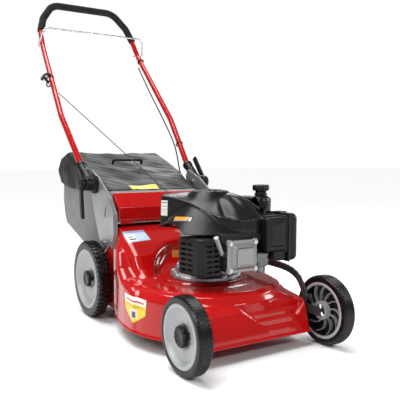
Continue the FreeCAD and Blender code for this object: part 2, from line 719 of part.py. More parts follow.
def make_small_engine_parts():
    boot = Part.makeCylinder(6.5, 60, Vector(-62, -184, 272), Vector(-30, -16, 50))
    boss = Part.makeCylinder(7.4, 30, Vector(-64.1, -184, 270), X_AXIS)
    coded("spark_plug_boot", boot.cut(boss))
    turn = FreeCAD.Rotation(Z_AXIS, 152)
    keep(cut(block(-66, 30, 236, 30, 12, 20, turn), rod("z", 0, 0, 200, dim("case_radius") + 0.1, 100)),
         "wire_connector")
    arm = fuse(block(-34, 88, 300, 8, 46, 4), rod("z", -30, 92, 299.9, 9, 4.2))
    keep(cut(arm, rod("z", -30, 92, 290, 4 + dim("run_gap"), 20)), "brake_arm")


# ---------------------------------------------------------------- grass bag
BAG_OUTLINE = [(258, 330), (258, 370), (296, 412), (700, 560), (782, 538), (808, 482), (750, 306),
               (730, 276), (420, 188), (330, 246)]


def make_bag():
    """The soft bag: a thin closed shell, open at the mouth that faces the deck."""
    half, tail_half, skin = dim("bag_half"), dim("bag_tail_half"), dim("bag_skin")
    split_y = 500
    front = prism("bag_front", "YZ_Plane", [
        (258, 330), (258, 370), (296, 412), (split_y, 487), (split_y, 211), (420, 188), (330, 246)],
        2 * half, middle=True)
    back = prism("bag_back", "YZ_Plane", [
        (split_y, 487), (700, 560), (782, 538), (808, 482), (750, 306), (730, 276), (split_y, 211)],
        2 * tail_half, middle=True)
    front_hollow = prism("bag_front_hollow", "YZ_Plane", [
        (240, 320), (262, 368), (298, 408), (split_y + 5, 485), (split_y + 5, 215), (421, 192), (400, 170)],
        2 * (half - skin), middle=True)
    back_hollow = prism("bag_back_hollow", "YZ_Plane", [
        (split_y + 3, 484), (700, 556), (779, 535), (804, 482), (746, 307), (728, 280), (split_y + 3, 215)],
        2 * (tail_half - skin), middle=True)
    keep(cut(fuse(front, back), front_hollow, back_hollow), "grass_bag")


def make_bag_frame():
    """A stiff wire hoop just inside the bag's mouth, and the carrying handle on the hood."""
    half = value(dim("bag_half")) - 10
    hoop = bent_path([(-half, 300, 290), (-half, 274, 358), (half, 274, 358), (half, 300, 290)], [14, 14])
    coded("bag_frame", swept(hoop, 3))
    bow = bent_path([(-60, 572, 514), (-60, 566, 530), (60, 566, 530), (60, 572, 514)], [8, 8])
    coded("bag_handle", swept(bow, 5))


# ---------------------------------------------------------------- handle
TUBE_R = dim("tube_radius")
HANDLE_POINTS = [(219, 450, 485), (219, 486, 514), (235, 645, 696), (217, 925, 1001), (212, 974, 1073),
                 (192, 1004, 1136), (140, 1040, 1207)]
BAIL_Y, BAIL_Z = 925, 1001
HANDLE_RADII = [120, 160, 160, 130, 60, 60]


def mirrored_path(points, radii, first=0):
    """The left side's points from first up, then the same points again on the right."""
    left = points[first:]
    right = [(-x, y, z) for x, y, z in left]
    half = radii[first:]
    return bent_path(left + right[::-1], half + half[::-1])


def make_handle():
    tube_r, grip_r = TUBE_R.value, value(dim("grip_radius"))
    tube = swept(mirrored_path(HANDLE_POINTS, HANDLE_RADII), tube_r, tube_r - 1.5)
    bail_bore = Part.makeCylinder(3.55, 500, Vector(-250, BAIL_Y, BAIL_Z), X_AXIS)
    coded("handle_tube", tube.cut(bail_bore))
    grip = swept(mirrored_path(HANDLE_POINTS[4:], HANDLE_RADII[4:]), grip_r, tube_r + 0.02)
    coded("foam_grip", grip)


def make_knuckle(side, label):
    """A toothed disc against the bracket, an eye and a socket that takes the tube."""
    half = value(dim("hinge_half"))
    near, far = PLATE_X + PLATE_T + 0.4, size(237)
    start = near if side > 0 else -far
    disc_start = near if side > 0 else -near - 11
    eye = rod("x", start, HINGE_Y, HINGE_Z, 24, far - near)
    disc = rod("x", disc_start, HINGE_Y, HINGE_Z, 34, 11)
    pivot = Vector(side * half, HINGE_Y.value, HINGE_Z.value)
    tube_start = Vector(side * half, *HANDLE_POINTS[0][1:])
    way = (Vector(side * half, *HANDLE_POINTS[1][1:]) - tube_start).normalize()
    socket = Part.makeCylinder(16, 88, pivot + way * 16, way)
    bore = Part.makeCylinder(TUBE_R.value + 0.3, 90, tube_start - way, way)
    solid = fuse(eye, disc, coded(None, socket))
    keep(cut(solid, coded(None, bore), rod("x", -270, HINGE_Y, HINGE_Z, PIN_R + 0.05, 540)), label)


def make_cam_lever(side, label, degrees):
    """An eccentric eye on the pivot bolt with a long flat lever."""
    start = 237.5 if side > 0 else -257.5
    turn = FreeCAD.Rotation(X_AXIS, degrees)
    reach = turn.multVec(Vector(0, 118, 0))
    eye = rod("x", start, HINGE_Y, HINGE_Z, 22, 20)
    lever = arm_between(HINGE_Y, HINGE_Z, HINGE_Y + reach.y, HINGE_Z + reach.z,
                        start + (7 if side > 0 else 3), 10, 19)
    keep(cut(fuse(eye, *lever), rod("x", start - 1, HINGE_Y, HINGE_Z, PIN_R + 0.05, 30)), label)


def make_bail():
    """A wire hoop whose ends turn inward through the tube; at rest it leans away from the grip."""
    wire = 3.5
    corner = (222, BAIL_Y - 32, BAIL_Z + 72)
    left = [(196, BAIL_Y, BAIL_Z), (239, BAIL_Y, BAIL_Z), corner]
    points = left + [(-x, y, z) for x, y, z in left[::-1]]
    coded("bail", swept(bent_path(points, [7, 22, 22, 7]), wire))


def make_handle_small_parts():
    collar = Part.makeTorus(TUBE_R.value + 2.9, 2.7, Vector(-229.5, 792, 852.5), Vector(0.05, 0.67, 0.74))
    guide_ring = Part.makeTorus(10, 2.5, Vector(*ROPE[0]), Vector(-0.21, 0.84, 0.5))
    stem = Part.makeCylinder(2.5, 10, Vector(-231, 804, 841), Vector(0, -0.74, 0.67))
    coded("rope_guide", collar.fuse(guide_ring).fuse(stem))
    grip = [(-249, 838, 855), (-250, 808, 865), (-250, 766, 866), (-249.5, 736, 857)]
    bar = swept(bent_path(grip, [40, 40]), 6.5)
    stem = Part.makeCylinder(4, 29, Vector(-249, 815, 862), Vector(17, -2, -25))
    coded("starter_grip", bar.fuse(stem))
    clips = [Part.makeTorus(TUBE_R.value + 2.4, 2.2, Vector(*p), Vector(0.03, -0.68, -0.73))
             for p in ((219, 900, 974), (226.5, 560, 595))]
    coded("cable_clips", Part.makeCompound(clips))


ROPE = [(-231, 808, 832), (-61, 112, 420)]
CABLE = [(201, 886, 944), (201, 790, 838), (205, 690, 733), (208, 612, 646), (206, 560, 588),
         (200, 528, 540), (193, 500, 490), (188.5, 465, 448), (188, 415, 424), (188, 360, 412),
         (188, 305, 406), (187.5, 255, 398), (182, 212, 382), (160, 178, 362), (118, 158, 342),
         (68, 146, 320), (20, 139, 305)]


def make_cords():
    cord("starter_rope", ROPE, 1.5)
    cord("control_cable", CABLE, 2.5)


make_deck()
make_axle_bushes()
make_bracket(-1, "handle_bracket_right")
make_bracket(1, "handle_bracket_left")
make_flap()
for wheel_end in ("front", "rear"):
    make_wheel(wheel_end + "_right", wheel_end, -1)
    make_wheel(wheel_end + "_left", wheel_end, 1)
make_axle("front_axle", "front")
make_axle("rear_axle", "rear")
make_height_lever()
make_height_link()
make_crankcase()
make_cylinder_block()
make_valve_cover()
make_bolts()
make_muffler()
make_muffler_guard()
make_blower_housing()
make_rotor()
make_starter()
make_tank()
make_intake()
make_small_engine_parts()
make_bag()
make_bag_frame()
make_handle()
make_knuckle(-1, "knuckle_right")
make_knuckle(1, "knuckle_left")
make_cam_lever(-1, "cam_lever_right", -96)
make_cam_lever(1, "cam_lever_left", 50)
make_bail()
make_handle_small_parts()
make_cords()
doc.recompute()

for thing in doc.Objects:
    if "Invalid" in thing.State or "Error" in thing.State:
        raise RuntimeError("%s failed: %s" % (thing.Label, thing.State))
os.makedirs("parts", exist_ok=True)
for thing in parts:
    if thing.Shape.isNull() or not thing.Shape.isValid() or not thing.Shape.Solids:
        raise RuntimeError("%s has no valid solid" % thing.Label)
    thing.Shape.exportStep("parts/%s.step" % thing.Label)
print("wrote %d sub-parts" % len(parts))
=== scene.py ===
"""Looks for the push lawn mower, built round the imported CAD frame.

Sizes are in millimetres about the crankshaft's axis, and put() turns them into the frame's metres.
Moulded and pressed shapes are written as distance fields and meshed by net().
"""
import math

import bmesh
import bpy
import numpy as np
from mathutils import Matrix, Vector
from mathutils.bvhtree import BVHTree


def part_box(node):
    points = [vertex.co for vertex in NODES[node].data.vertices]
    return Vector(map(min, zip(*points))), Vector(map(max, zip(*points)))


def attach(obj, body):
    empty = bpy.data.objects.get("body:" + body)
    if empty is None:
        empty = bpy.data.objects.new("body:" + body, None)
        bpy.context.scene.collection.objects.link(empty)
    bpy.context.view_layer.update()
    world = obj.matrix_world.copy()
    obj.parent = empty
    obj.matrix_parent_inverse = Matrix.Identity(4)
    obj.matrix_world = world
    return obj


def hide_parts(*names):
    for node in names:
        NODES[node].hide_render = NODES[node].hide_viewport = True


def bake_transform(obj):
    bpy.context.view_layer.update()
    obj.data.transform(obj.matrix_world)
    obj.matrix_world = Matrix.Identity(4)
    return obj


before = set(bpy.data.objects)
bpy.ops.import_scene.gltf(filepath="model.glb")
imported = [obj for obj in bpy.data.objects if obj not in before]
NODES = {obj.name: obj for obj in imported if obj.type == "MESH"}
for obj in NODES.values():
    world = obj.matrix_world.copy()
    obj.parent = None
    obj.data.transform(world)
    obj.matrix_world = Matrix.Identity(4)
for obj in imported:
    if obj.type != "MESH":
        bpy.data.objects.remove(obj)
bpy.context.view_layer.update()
LOW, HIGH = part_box("crankshaft")
CRANK_Y = (LOW.y + HIGH.y) / 2
MM = 0.001
SIDES = {"right": -1, "left": 1}


def put(x, y, z):
    """Millimetres about the crank axis to a point in the frame."""
    return Vector((x * MM, y * MM + CRANK_Y, z * MM))


# ---------------------------------------------------------------- materials
def new_material(name):
    material = bpy.data.materials.new(name)
    material.use_nodes = True
    nodes, links = material.node_tree.nodes, material.node_tree.links
    shader = nodes["Principled BSDF"]
    place = nodes.new("ShaderNodeTexCoord")
    return material, nodes, links, shader, place


def noise(nodes, links, place, scale, detail=4.0, stretch=None):
    """A noise texture in metres: scale is features per metre."""
    texture = nodes.new("ShaderNodeTexNoise")
    texture.inputs["Scale"].default_value = scale
    texture.inputs["Detail"].default_value = detail
    source = place.outputs["Object"]
    if stretch:
        mapping = nodes.new("ShaderNodeMapping")
        mapping.inputs["Scale"].default_value = stretch
        links.new(source, mapping.inputs["Vector"])
        source = mapping.outputs["Vector"]
    links.new(source, texture.inputs["Vector"])
    return texture.outputs["Fac"]


def ramp(nodes, links, source, low, high, start=0.3, end=0.7):
    """A colour or grey that goes from low to high as source goes from start to end."""
    node = nodes.new("ShaderNodeValToRGB")
    first, last = node.color_ramp.elements
    first.position, last.position = start, end
    first.color = tuple(low) + (1,) if hasattr(low, "__len__") else (low, low, low, 1)
    last.color = tuple(high) + (1,) if hasattr(high, "__len__") else (high, high, high, 1)
    links.new(source, node.inputs["Fac"])
    return node.outputs["Color"]


def bump(nodes, links, shader, height, depth, under=None):
    node = nodes.new("ShaderNodeBump")
    node.inputs["Distance"].default_value = depth * MM
    node.inputs["Strength"].default_value = 1.0
    links.new(height, node.inputs["Height"])
    if under:
        links.new(under, node.inputs["Normal"])
    links.new(node.outputs["Normal"], shader.inputs["Normal"])
    return node.outputs["Normal"]


def maths(nodes, links, operation, *values):
    """A Math node's output; each value is a number or a socket to link."""
    node = nodes.new("ShaderNodeMath")
    node.operation = operation
    for socket, value in zip(node.inputs, values):
        if isinstance(value, (int, float)):
            socket.default_value = value
        else:
            links.new(value, socket)
    return node.outputs[0]


def shade(colour, amount):
    return [min(1.0, max(0.0, part * amount)) for part in colour]


def coated(name, colour, rough=(0.2, 0.3), metal=0.0, coat=0.0, mottle=0.12, patch=14.0, grain=900.0,
           depth=0.05, wave=0.0, specular=0.5, stretch=None):
    """Paint, plastic, rubber or bare metal: two close shades, uneven gloss and a fine grain."""
    material, nodes, links, shader, place = new_material(name)
    cloud = noise(nodes, links, place, patch, 6.0, stretch=stretch)
    links.new(ramp(nodes, links, cloud, shade(colour, 1 - mottle), shade(colour, 1 + mottle)),
              shader.inputs["Base Color"])
    links.new(ramp(nodes, links, noise(nodes, links, place, patch * 3.1, 5.0, stretch=stretch),
                   rough[0], rough[1]), shader.inputs["Roughness"])
    shader.inputs["Metallic"].default_value = metal
    shader.inputs["Coat Weight"].default_value = coat
    shader.inputs["Coat Roughness"].default_value = 0.04
    shader.inputs["Specular IOR Level"].default_value = specular
    normal = bump(nodes, links, shader, noise(nodes, links, place, grain, 2.0, stretch=stretch), depth)
    if wave:
        bump(nodes, links, shader, noise(nodes, links, place, 9.0, 1.0), wave, under=normal)
    return material


def weave(name, colour, threads=420.0, depth=0.25, rough=0.75, sheen=0.25):
    """Coated woven cloth: two crossed thread waves, with the shade and gloss following them."""
    material, nodes, links, shader, place = new_material(name)
    waves = []
    for turn in ((0, 0, 0), (0, math.radians(90), math.radians(90))):
        mapping = nodes.new("ShaderNodeMapping")
        mapping.inputs["Rotation"].default_value = turn
        links.new(place.outputs["Object"], mapping.inputs["Vector"])
        wave = nodes.new("ShaderNodeTexWave")
        wave.inputs["Scale"].default_value = threads / 6.28
        wave.inputs["Distortion"].default_value = 0.6
        wave.inputs["Detail Scale"].default_value = 3.0
        links.new(mapping.outputs["Vector"], wave.inputs["Vector"])
        waves.append(wave.outputs["Fac"])
    thread = maths(nodes, links, "MAXIMUM", *waves)
    cloud = noise(nodes, links, place, 11.0, 6.0)
    blend = maths(nodes, links, "MULTIPLY", thread, cloud)
    links.new(ramp(nodes, links, blend, shade(colour, 0.86), shade(colour, 1.16), 0.0, 0.9),
              shader.inputs["Base Color"])
    links.new(ramp(nodes, links, cloud, rough - 0.08, rough + 0.1), shader.inputs["Roughness"])
    shader.inputs["Sheen Weight"].default_value = sheen
    shader.inputs["Specular IOR Level"].default_value = 0.3
    normal = bump(nodes, links, shader, thread, depth)
    bump(nodes, links, shader, noise(nodes, links, place, 16.0, 3.0), 3.0, under=normal)
    return material


def banded(name, ground, rough, blocks):
    """A printed label: blocks are (u range, v range, colour) boxes over the ground colour."""
    material, nodes, links, shader, place = new_material(name)
    parts = nodes.new("ShaderNodeSeparateXYZ")
    links.new(place.outputs["UV"], parts.inputs["Vector"])

    def between(axis, start, end):
        above = maths(nodes, links, "GREATER_THAN", parts.outputs[axis], start)
        below = maths(nodes, links, "LESS_THAN", parts.outputs[axis], end)
        return maths(nodes, links, "MULTIPLY", above, below)

    speck = noise(nodes, links, place, 60.0, 4.0)
    colour = ramp(nodes, links, speck, shade(ground, 0.94), shade(ground, 1.04))
    for (u0, u1), (v0, v1), tint in blocks:
        mask = maths(nodes, links, "MULTIPLY", between("X", u0, u1), between("Y", v0, v1))
        mix = nodes.new("ShaderNodeMix")
        mix.data_type = "RGBA"
        links.new(mask, mix.inputs["Factor"])
        links.new(colour, mix.inputs["A"])
        mix.inputs["B"].default_value = tuple(tint) + (1,)
        colour = mix.outputs["Result"]
    links.new(colour, shader.inputs["Base Color"])
    shader.inputs["Roughness"].default_value = rough
    bump(nodes, links, shader, noise(nodes, links, place, 500.0, 2.0), 0.02)
    return material


RED = coated("red_powder_coat", (0.46, 0.004, 0.004), (0.13, 0.18), coat=0.5, mottle=0.05, depth=0.006,
             grain=400.0, wave=0.12, specular=0.3)
SHROUD_BLACK = coated("shroud_black", (0.007, 0.007, 0.008), (0.24, 0.34), mottle=0.15, grain=1500.0,
                      depth=0.02, specular=0.28)
BLACK_PLASTIC = coated("black_plastic", (0.006, 0.006, 0.007), (0.3, 0.44), mottle=0.2, grain=1300.0,
                       depth=0.04, specular=0.28)
BLACK_PAINT = coated("black_heat_paint", (0.007, 0.007, 0.008), (0.34, 0.5), mottle=0.25, grain=1100.0,
                     depth=0.06, specular=0.28)
RUBBER = coated("tyre_rubber", (0.004, 0.004, 0.0045), (0.24, 0.36), mottle=0.3, patch=30.0, grain=1400.0,
                depth=0.05, specular=0.3)
FOAM = coated("grip_foam", (0.014, 0.014, 0.015), (0.75, 0.9), mottle=0.3, patch=60.0, grain=900.0,
              depth=0.6, specular=0.25)
SILVER = coated("silver_plastic", (0.40, 0.41, 0.42), (0.38, 0.5), metal=0.25, mottle=0.05, grain=2000.0,
                depth=0.03)
GREY_STEEL = coated("grey_steel", (0.33, 0.335, 0.34), (0.28, 0.4), metal=0.55, mottle=0.1, grain=1500.0,
                    depth=0.04, coat=0.15)
ALLOY = coated("cast_alloy", (0.42, 0.43, 0.44), (0.3, 0.5), metal=0.9, mottle=0.22, patch=45.0,
               grain=1000.0, depth=0.25)
COVER_ALLOY = coated("cover_alloy", (0.30, 0.305, 0.31), (0.34, 0.4), metal=0.6, mottle=0.03, patch=20.0,
                     grain=1400.0, depth=0.004)
CARB_ALLOY = coated("carburettor_alloy", (0.20, 0.20, 0.205), (0.3, 0.5), metal=0.8, mottle=0.25,
                    patch=60.0, grain=1100.0, depth=0.15)
DARK_ALLOY = coated("dark_alloy", (0.018, 0.018, 0.019), (0.45, 0.6), metal=0.5, mottle=0.25, patch=45.0,
                    grain=1000.0, depth=0.25)
CHROME = coated("chrome_wire", (0.62, 0.63, 0.65), (0.10, 0.2), metal=1.0, mottle=0.06, grain=700.0,
                depth=0.02)
ZINC = coated("zinc_steel", (0.52, 0.52, 0.50), (0.26, 0.42), metal=0.95, mottle=0.18, patch=80.0,
              grain=1200.0, depth=0.06)
DARK_STEEL = coated("dark_steel", (0.07, 0.072, 0.075), (0.32, 0.48), metal=0.5, mottle=0.2, grain=1200.0,
                    depth=0.06)
STRAP_STEEL = coated("strap_steel", (0.045, 0.05, 0.05), (0.3, 0.42), mottle=0.15, grain=1200.0, depth=0.04)
ORANGE = coated("orange_plastic", (0.62, 0.22, 0.02), (0.3, 0.45), mottle=0.2, patch=90.0)
HOOD_CLOTH = weave("hood_cloth", (0.009, 0.009, 0.0095), threads=760.0, depth=0.05, rough=0.5, sheen=0.03)
SIDE_CLOTH = weave("side_cloth", (0.20, 0.202, 0.205), threads=760.0, depth=0.04, rough=0.55, sheen=0.05)
PAPER = coated("filter_paper", (0.55, 0.5, 0.36), (0.7, 0.9), mottle=0.15, grain=1500.0, depth=0.2)
ROPE = weave("rope_braid", (0.03, 0.03, 0.03), threads=2600.0, depth=0.3)


# ---------------------------------------------------------------- distance fields
def rounded_box(p, centre, half, radius=0.0):
    gaps = [np.abs(p[i] - centre[i]) - (half[i] - radius) for i in range(3)]
    outside = np.sqrt(sum(np.maximum(gap, 0) ** 2 for gap in gaps))
    return outside + np.minimum(np.maximum(np.maximum(gaps[0], gaps[1]), gaps[2]), 0) - radius


def plate(p, low, high, radius=0.0):
    """A rounded box given by its two corners."""
    centre = [(a + b) / 2 for a, b in zip(low, high)]
    half = [(b - a) / 2 for a, b in zip(low, high)]
    return rounded_box(p, centre, half, radius)


def cylinder(p, axis, centre, radius, start, end, edge=0.0):
    """A round bar along axis 0, 1 or 2 from start to end."""
    across = [i for i in range(3) if i != axis]
    around = np.hypot(p[across[0]] - centre[0], p[across[1]] - centre[1]) - (radius - edge)
    along = np.abs(p[axis] - (start + end) / 2) - ((end - start) / 2 - edge)
    outside = np.hypot(np.maximum(around, 0), np.maximum(along, 0))
    return outside + np.minimum(np.maximum(around, along), 0) - edge


def bar(p, a, b, radius):
    """A round-ended bar between two points."""
    a, b = np.array(a, float), np.array(b, float)
    way = b - a
    t = np.clip(sum((p[i] - a[i]) * way[i] for i in range(3)) / (way @ way), 0, 1)
    return np.sqrt(sum((p[i] - a[i] - t * way[i]) ** 2 for i in range(3))) - radius


def join(a, b, k=0.0):
    """Union, with a fillet of about k."""
    if k <= 0:
        return np.minimum(a, b)
    h = np.maximum(k - np.abs(a - b), 0) / k
    return np.minimum(a, b) - h * h * k / 4


def meet(a, b, k=0.0):
    """Intersection, with an edge rounded by about k."""
    return -join(-a, -b, k)


def polygon(u, v, corners, radius=0.0):
    """Signed distance in a plane to a polygon whose corners are rounded."""
    pts = np.array(corners, float)
    if radius:
        pts = inset(pts, radius)
    best = np.full(u.shape, 1e9, np.float32)
    inside = np.zeros(u.shape, bool)
    for i in range(len(pts)):
        a, b = pts[i], pts[(i + 1) % len(pts)]
        e = b - a
        wu, wv = u - a[0], v - a[1]
        t = np.clip((wu * e[0] + wv * e[1]) / (e @ e), 0, 1)
        best = np.minimum(best, (wu - t * e[0]) ** 2 + (wv - t * e[1]) ** 2)
        crosses = ((a[1] > v) != (b[1] > v))
        if b[1] != a[1]:
            inside ^= crosses & (u < (b[0] - a[0]) * (v - a[1]) / (b[1] - a[1]) + a[0])
    return np.where(inside, -np.sqrt(best), np.sqrt(best)) - radius


def inset(pts, distance):
    """The polygon moved inward by distance."""
    area = sum(pts[i - 1][0] * pts[i][1] - pts[i][0] * pts[i - 1][1] for i in range(len(pts)))
    sign = 1 if area > 0 else -1
    moved = []
    for i in range(len(pts)):
        a, b, c = pts[i - 1], pts[i], pts[(i + 1) % len(pts)]
        d1, d2 = (b - a) / np.linalg.norm(b - a), (c - b) / np.linalg.norm(c - b)
        n1, n2 = sign * np.array([-d1[1], d1[0]]), sign * np.array([-d2[1], d2[0]])
        moved.append(b + (n1 + n2) * distance / (1 + n1 @ n2))
    return np.array(moved)


def net(name, field, low, high, step, thick=0.0, drop=None):
    """Surface nets: the zero surface of field between two corners, as a smooth mesh object."""
    counts = [int(math.ceil((high[i] - low[i]) / step)) + 1 for i in range(3)]
    lines = [np.linspace(low[i], low[i] + step * (counts[i] - 1), counts[i], dtype=np.float32)
             for i in range(3)]
    grid = np.meshgrid(*lines, indexing="ij")
    values = field(grid).astype(np.float32)
    values[values == 0] = 1e-6
    solid = values < 0
    shape = tuple(count - 1 for count in counts)
    total = np.zeros(shape + (3,), np.float32)
    number = np.zeros(shape, np.int8)
    corner = [slice(0, -1), slice(1, None)]
    for axis in range(3):
        others = [i for i in range(3) if i != axis]
        for i in (0, 1):
            for j in (0, 1):
                start, end = [0, 0, 0], [0, 0, 0]
                start[others[0]] = end[others[0]] = i
                start[others[1]] = end[others[1]] = j
                end[axis] = 1
                a = values[tuple(corner[n] for n in start)]
                b = values[tuple(corner[n] for n in end)]
                change = (a < 0) != (b < 0)
                t = np.where(change, a / np.where(change, a - b, 1), 0)
                number += change
                total[..., axis] += np.where(change, t, 0)
                total[..., others[0]] += np.where(change, i, 0)
                total[..., others[1]] += np.where(change, j, 0)
    used = number > 0
    index = np.full(shape, -1, np.int64)
    index[used] = np.arange(used.sum())
    cells = np.argwhere(used)
    points = (cells + total[used] / number[used][:, None]) * step + np.array(low)
    faces = []
    for axis in range(3):
        u, v = (axis + 1) % 3, (axis + 2) % 3
        first = [slice(None)] * 3
        second = [slice(None)] * 3
        first[axis], second[axis] = slice(0, -1), slice(1, None)
        a, b = solid[tuple(first)], solid[tuple(second)]
        edge = np.argwhere(a != b)
        keep = ((edge[:, u] > 0) & (edge[:, u] < counts[u] - 1)
                & (edge[:, v] > 0) & (edge[:, v] < counts[v] - 1))
        edge = edge[keep]
        quads = []
        for du, dv in ((-1, -1), (0, -1), (0, 0), (-1, 0)):
            cell = edge.copy()
            cell[:, u] += du
            cell[:, v] += dv
            quads.append(index[cell[:, 0], cell[:, 1], cell[:, 2]])
        quads = np.stack(quads, 1)
        outward = a[edge[:, 0], edge[:, 1], edge[:, 2]]
        quads[~outward] = quads[~outward][:, ::-1]
        faces.append(quads)
    faces = np.concatenate(faces)
    points = settle(points.astype(np.float32), field, step)
    if drop is not None:
        middle = points[faces].mean(1)
        faces = faces[~drop(middle.T)]
    return mesh_object(name, points, faces, thick)


def settle(points, field, step):
    """Moves the vertices onto the field's zero surface."""
    h = np.float32(step * 0.15)
    for _ in range(2):
        p = [points[:, i] for i in range(3)]
        here = field(p)
        slope = np.stack([(field([p[j] + (h if j == i else 0) for j in range(3)])
                           - field([p[j] - (h if j == i else 0) for j in range(3)])) / (2 * h)
                          for i in range(3)], 1)
        size = (slope ** 2).sum(1)
        shift = -here[:, None] * slope / np.maximum(size, 0.25)[:, None]
        points = points + np.clip(shift, -step * 0.5, step * 0.5)
    return points


def mesh_object(name, points, faces, thick=0.0):
    """A mesh object from points in millimetres about the crank axis."""
    mesh = bpy.data.meshes.new(name)
    metres = np.array(points, float) * MM + np.array([0, CRANK_Y, 0])
    mesh.from_pydata(metres.tolist(), [], [list(map(int, face)) for face in faces])
    mesh.update()
    made = bmesh.new()
    made.from_mesh(mesh)
    bmesh.ops.delete(made, geom=[v for v in made.verts if not v.link_faces], context="VERTS")
    made.to_mesh(mesh)
    made.free()
    mesh.polygons.foreach_set("use_smooth", [True] * len(mesh.polygons))
    thing = bpy.data.objects.new(name, mesh)
    bpy.context.scene.collection.objects.link(thing)
    if thick:
        shell = thing.modifiers.new("wall", "SOLIDIFY")
        shell.thickness = thick * MM
        shell.offset = -1
        shell.use_rim = True
    return thing


def finish(thing, material, body, replaces=()):
    """Gives a piece its material, its body and the CAD nodes that it stands for."""
    materials = material if isinstance(material, (list, tuple)) else [material]
    for one in materials:
        thing.data.materials.append(one)
    if replaces:
        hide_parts(*([replaces] if isinstance(replaces, str) else replaces))
    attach(thing, body)
    return thing


def merge(name, pieces):
    """Joins several new objects into one, keeping their materials."""
    bpy.ops.object.select_all(action="DESELECT")
    for piece in pieces:
        piece.select_set(True)
    bpy.context.view_layer.objects.active = pieces[0]
    bpy.ops.object.join()
    pieces[0].name = name
    return pieces[0]


# ---------------------------------------------------------------- lathes, tubes and patches
def turned(name, profile, axis, centre, count=96, wobble=None, closed=True):
    """Turns (along, radius) points round axis; wobble(angle, along, radius) may change a radius."""
    points, faces = [], []
    rows = len(profile)
    across = [i for i in range(3) if i != axis]
    for k in range(count):
        angle = 2 * math.pi * k / count
        for along, radius in profile:
            r = wobble(angle, along, radius) if wobble else radius
            point = [0.0, 0.0, 0.0]
            point[axis] = centre[axis] + along
            point[across[0]] = centre[across[0]] + r * math.cos(angle)
            point[across[1]] = centre[across[1]] + r * math.sin(angle)
            points.append(point)
    last = rows if closed else rows - 1
    for k in range(count):
        nxt = (k + 1) % count
        for i in range(last):
            j = (i + 1) % rows
            faces.append((k * rows + i, k * rows + j, nxt * rows + j, nxt * rows + i))
    thing = mesh_object(name, points, faces)
    clean(thing)
    return thing


WELD = 0.02


def clean(thing):
    """Welds doubled points and turns every face outward."""
    made = bmesh.new()
    made.from_mesh(thing.data)
    bmesh.ops.remove_doubles(made, verts=made.verts, dist=WELD * MM)
    bmesh.ops.recalc_face_normals(made, faces=made.faces)
    made.to_mesh(thing.data)
    made.free()
    return thing


def sharpen(thing, degrees=35):
    """Flat shading across edges sharper than this."""
    thing.data.set_sharp_from_angle(angle=math.radians(degrees))
    return thing


def rounded_path(points, radii, pieces=8):
    """Straight runs with an arc at each inner corner."""
    line = [Vector(points[0])]
    for i in range(1, len(points) - 1):
        corner = Vector(points[i])
        back = (Vector(points[i - 1]) - corner).normalized()
        ahead = (Vector(points[i + 1]) - corner).normalized()
        half = back.angle(ahead) / 2
        radius = radii[i - 1]
        reach = radius / math.tan(half)
        centre = corner + (back + ahead).normalized() * radius / math.sin(half)
        start, end = corner + back * reach - centre, corner + ahead * reach - centre
        sweep = start.angle(end)
        for k in range(pieces + 1):
            t = k / pieces
            spoke = start * math.sin((1 - t) * sweep) + end * math.sin(t * sweep)
            line.append(centre + spoke / math.sin(sweep))
    line.append(Vector(points[-1]))
    return line


def tube(name, line, radius, sides, swell=None):
    """A round tube along points; swell(t) scales the radius along its length."""
    line = [Vector(point) for point in line]
    lengths = [0.0]
    for a, b in zip(line, line[1:]):
        lengths.append(lengths[-1] + (b - a).length)
    way = (line[1] - line[0]).normalized()
    side = way.orthogonal().normalized()
    points, faces = [], []
    for i, point in enumerate(line):
        before = line[max(i - 1, 0)]
        after = line[min(i + 1, len(line) - 1)]
        new_way = (after - before).normalized()
        side = (way.rotation_difference(new_way) @ side)
        side = (side - new_way * side.dot(new_way)).normalized()
        way = new_way
        up = way.cross(side)
        r = radius * (swell(lengths[i] / lengths[-1]) if swell else 1)
        for k in range(sides):
            angle = 2 * math.pi * k / sides
            points.append(point + (side * math.cos(angle) + up * math.sin(angle)) * r)
    for i in range(len(line) - 1):
        for k in range(sides):
            n = (k + 1) % sides
            faces.append((i * sides + k, i * sides + n, (i + 1) * sides + n, (i + 1) * sides + k))
    faces.append(tuple(range(sides))[::-1])
    faces.append(tuple((len(line) - 1) * sides + k for k in range(sides)))
    thing = mesh_object(name, points, faces)
    return sharpen(thing, 50)


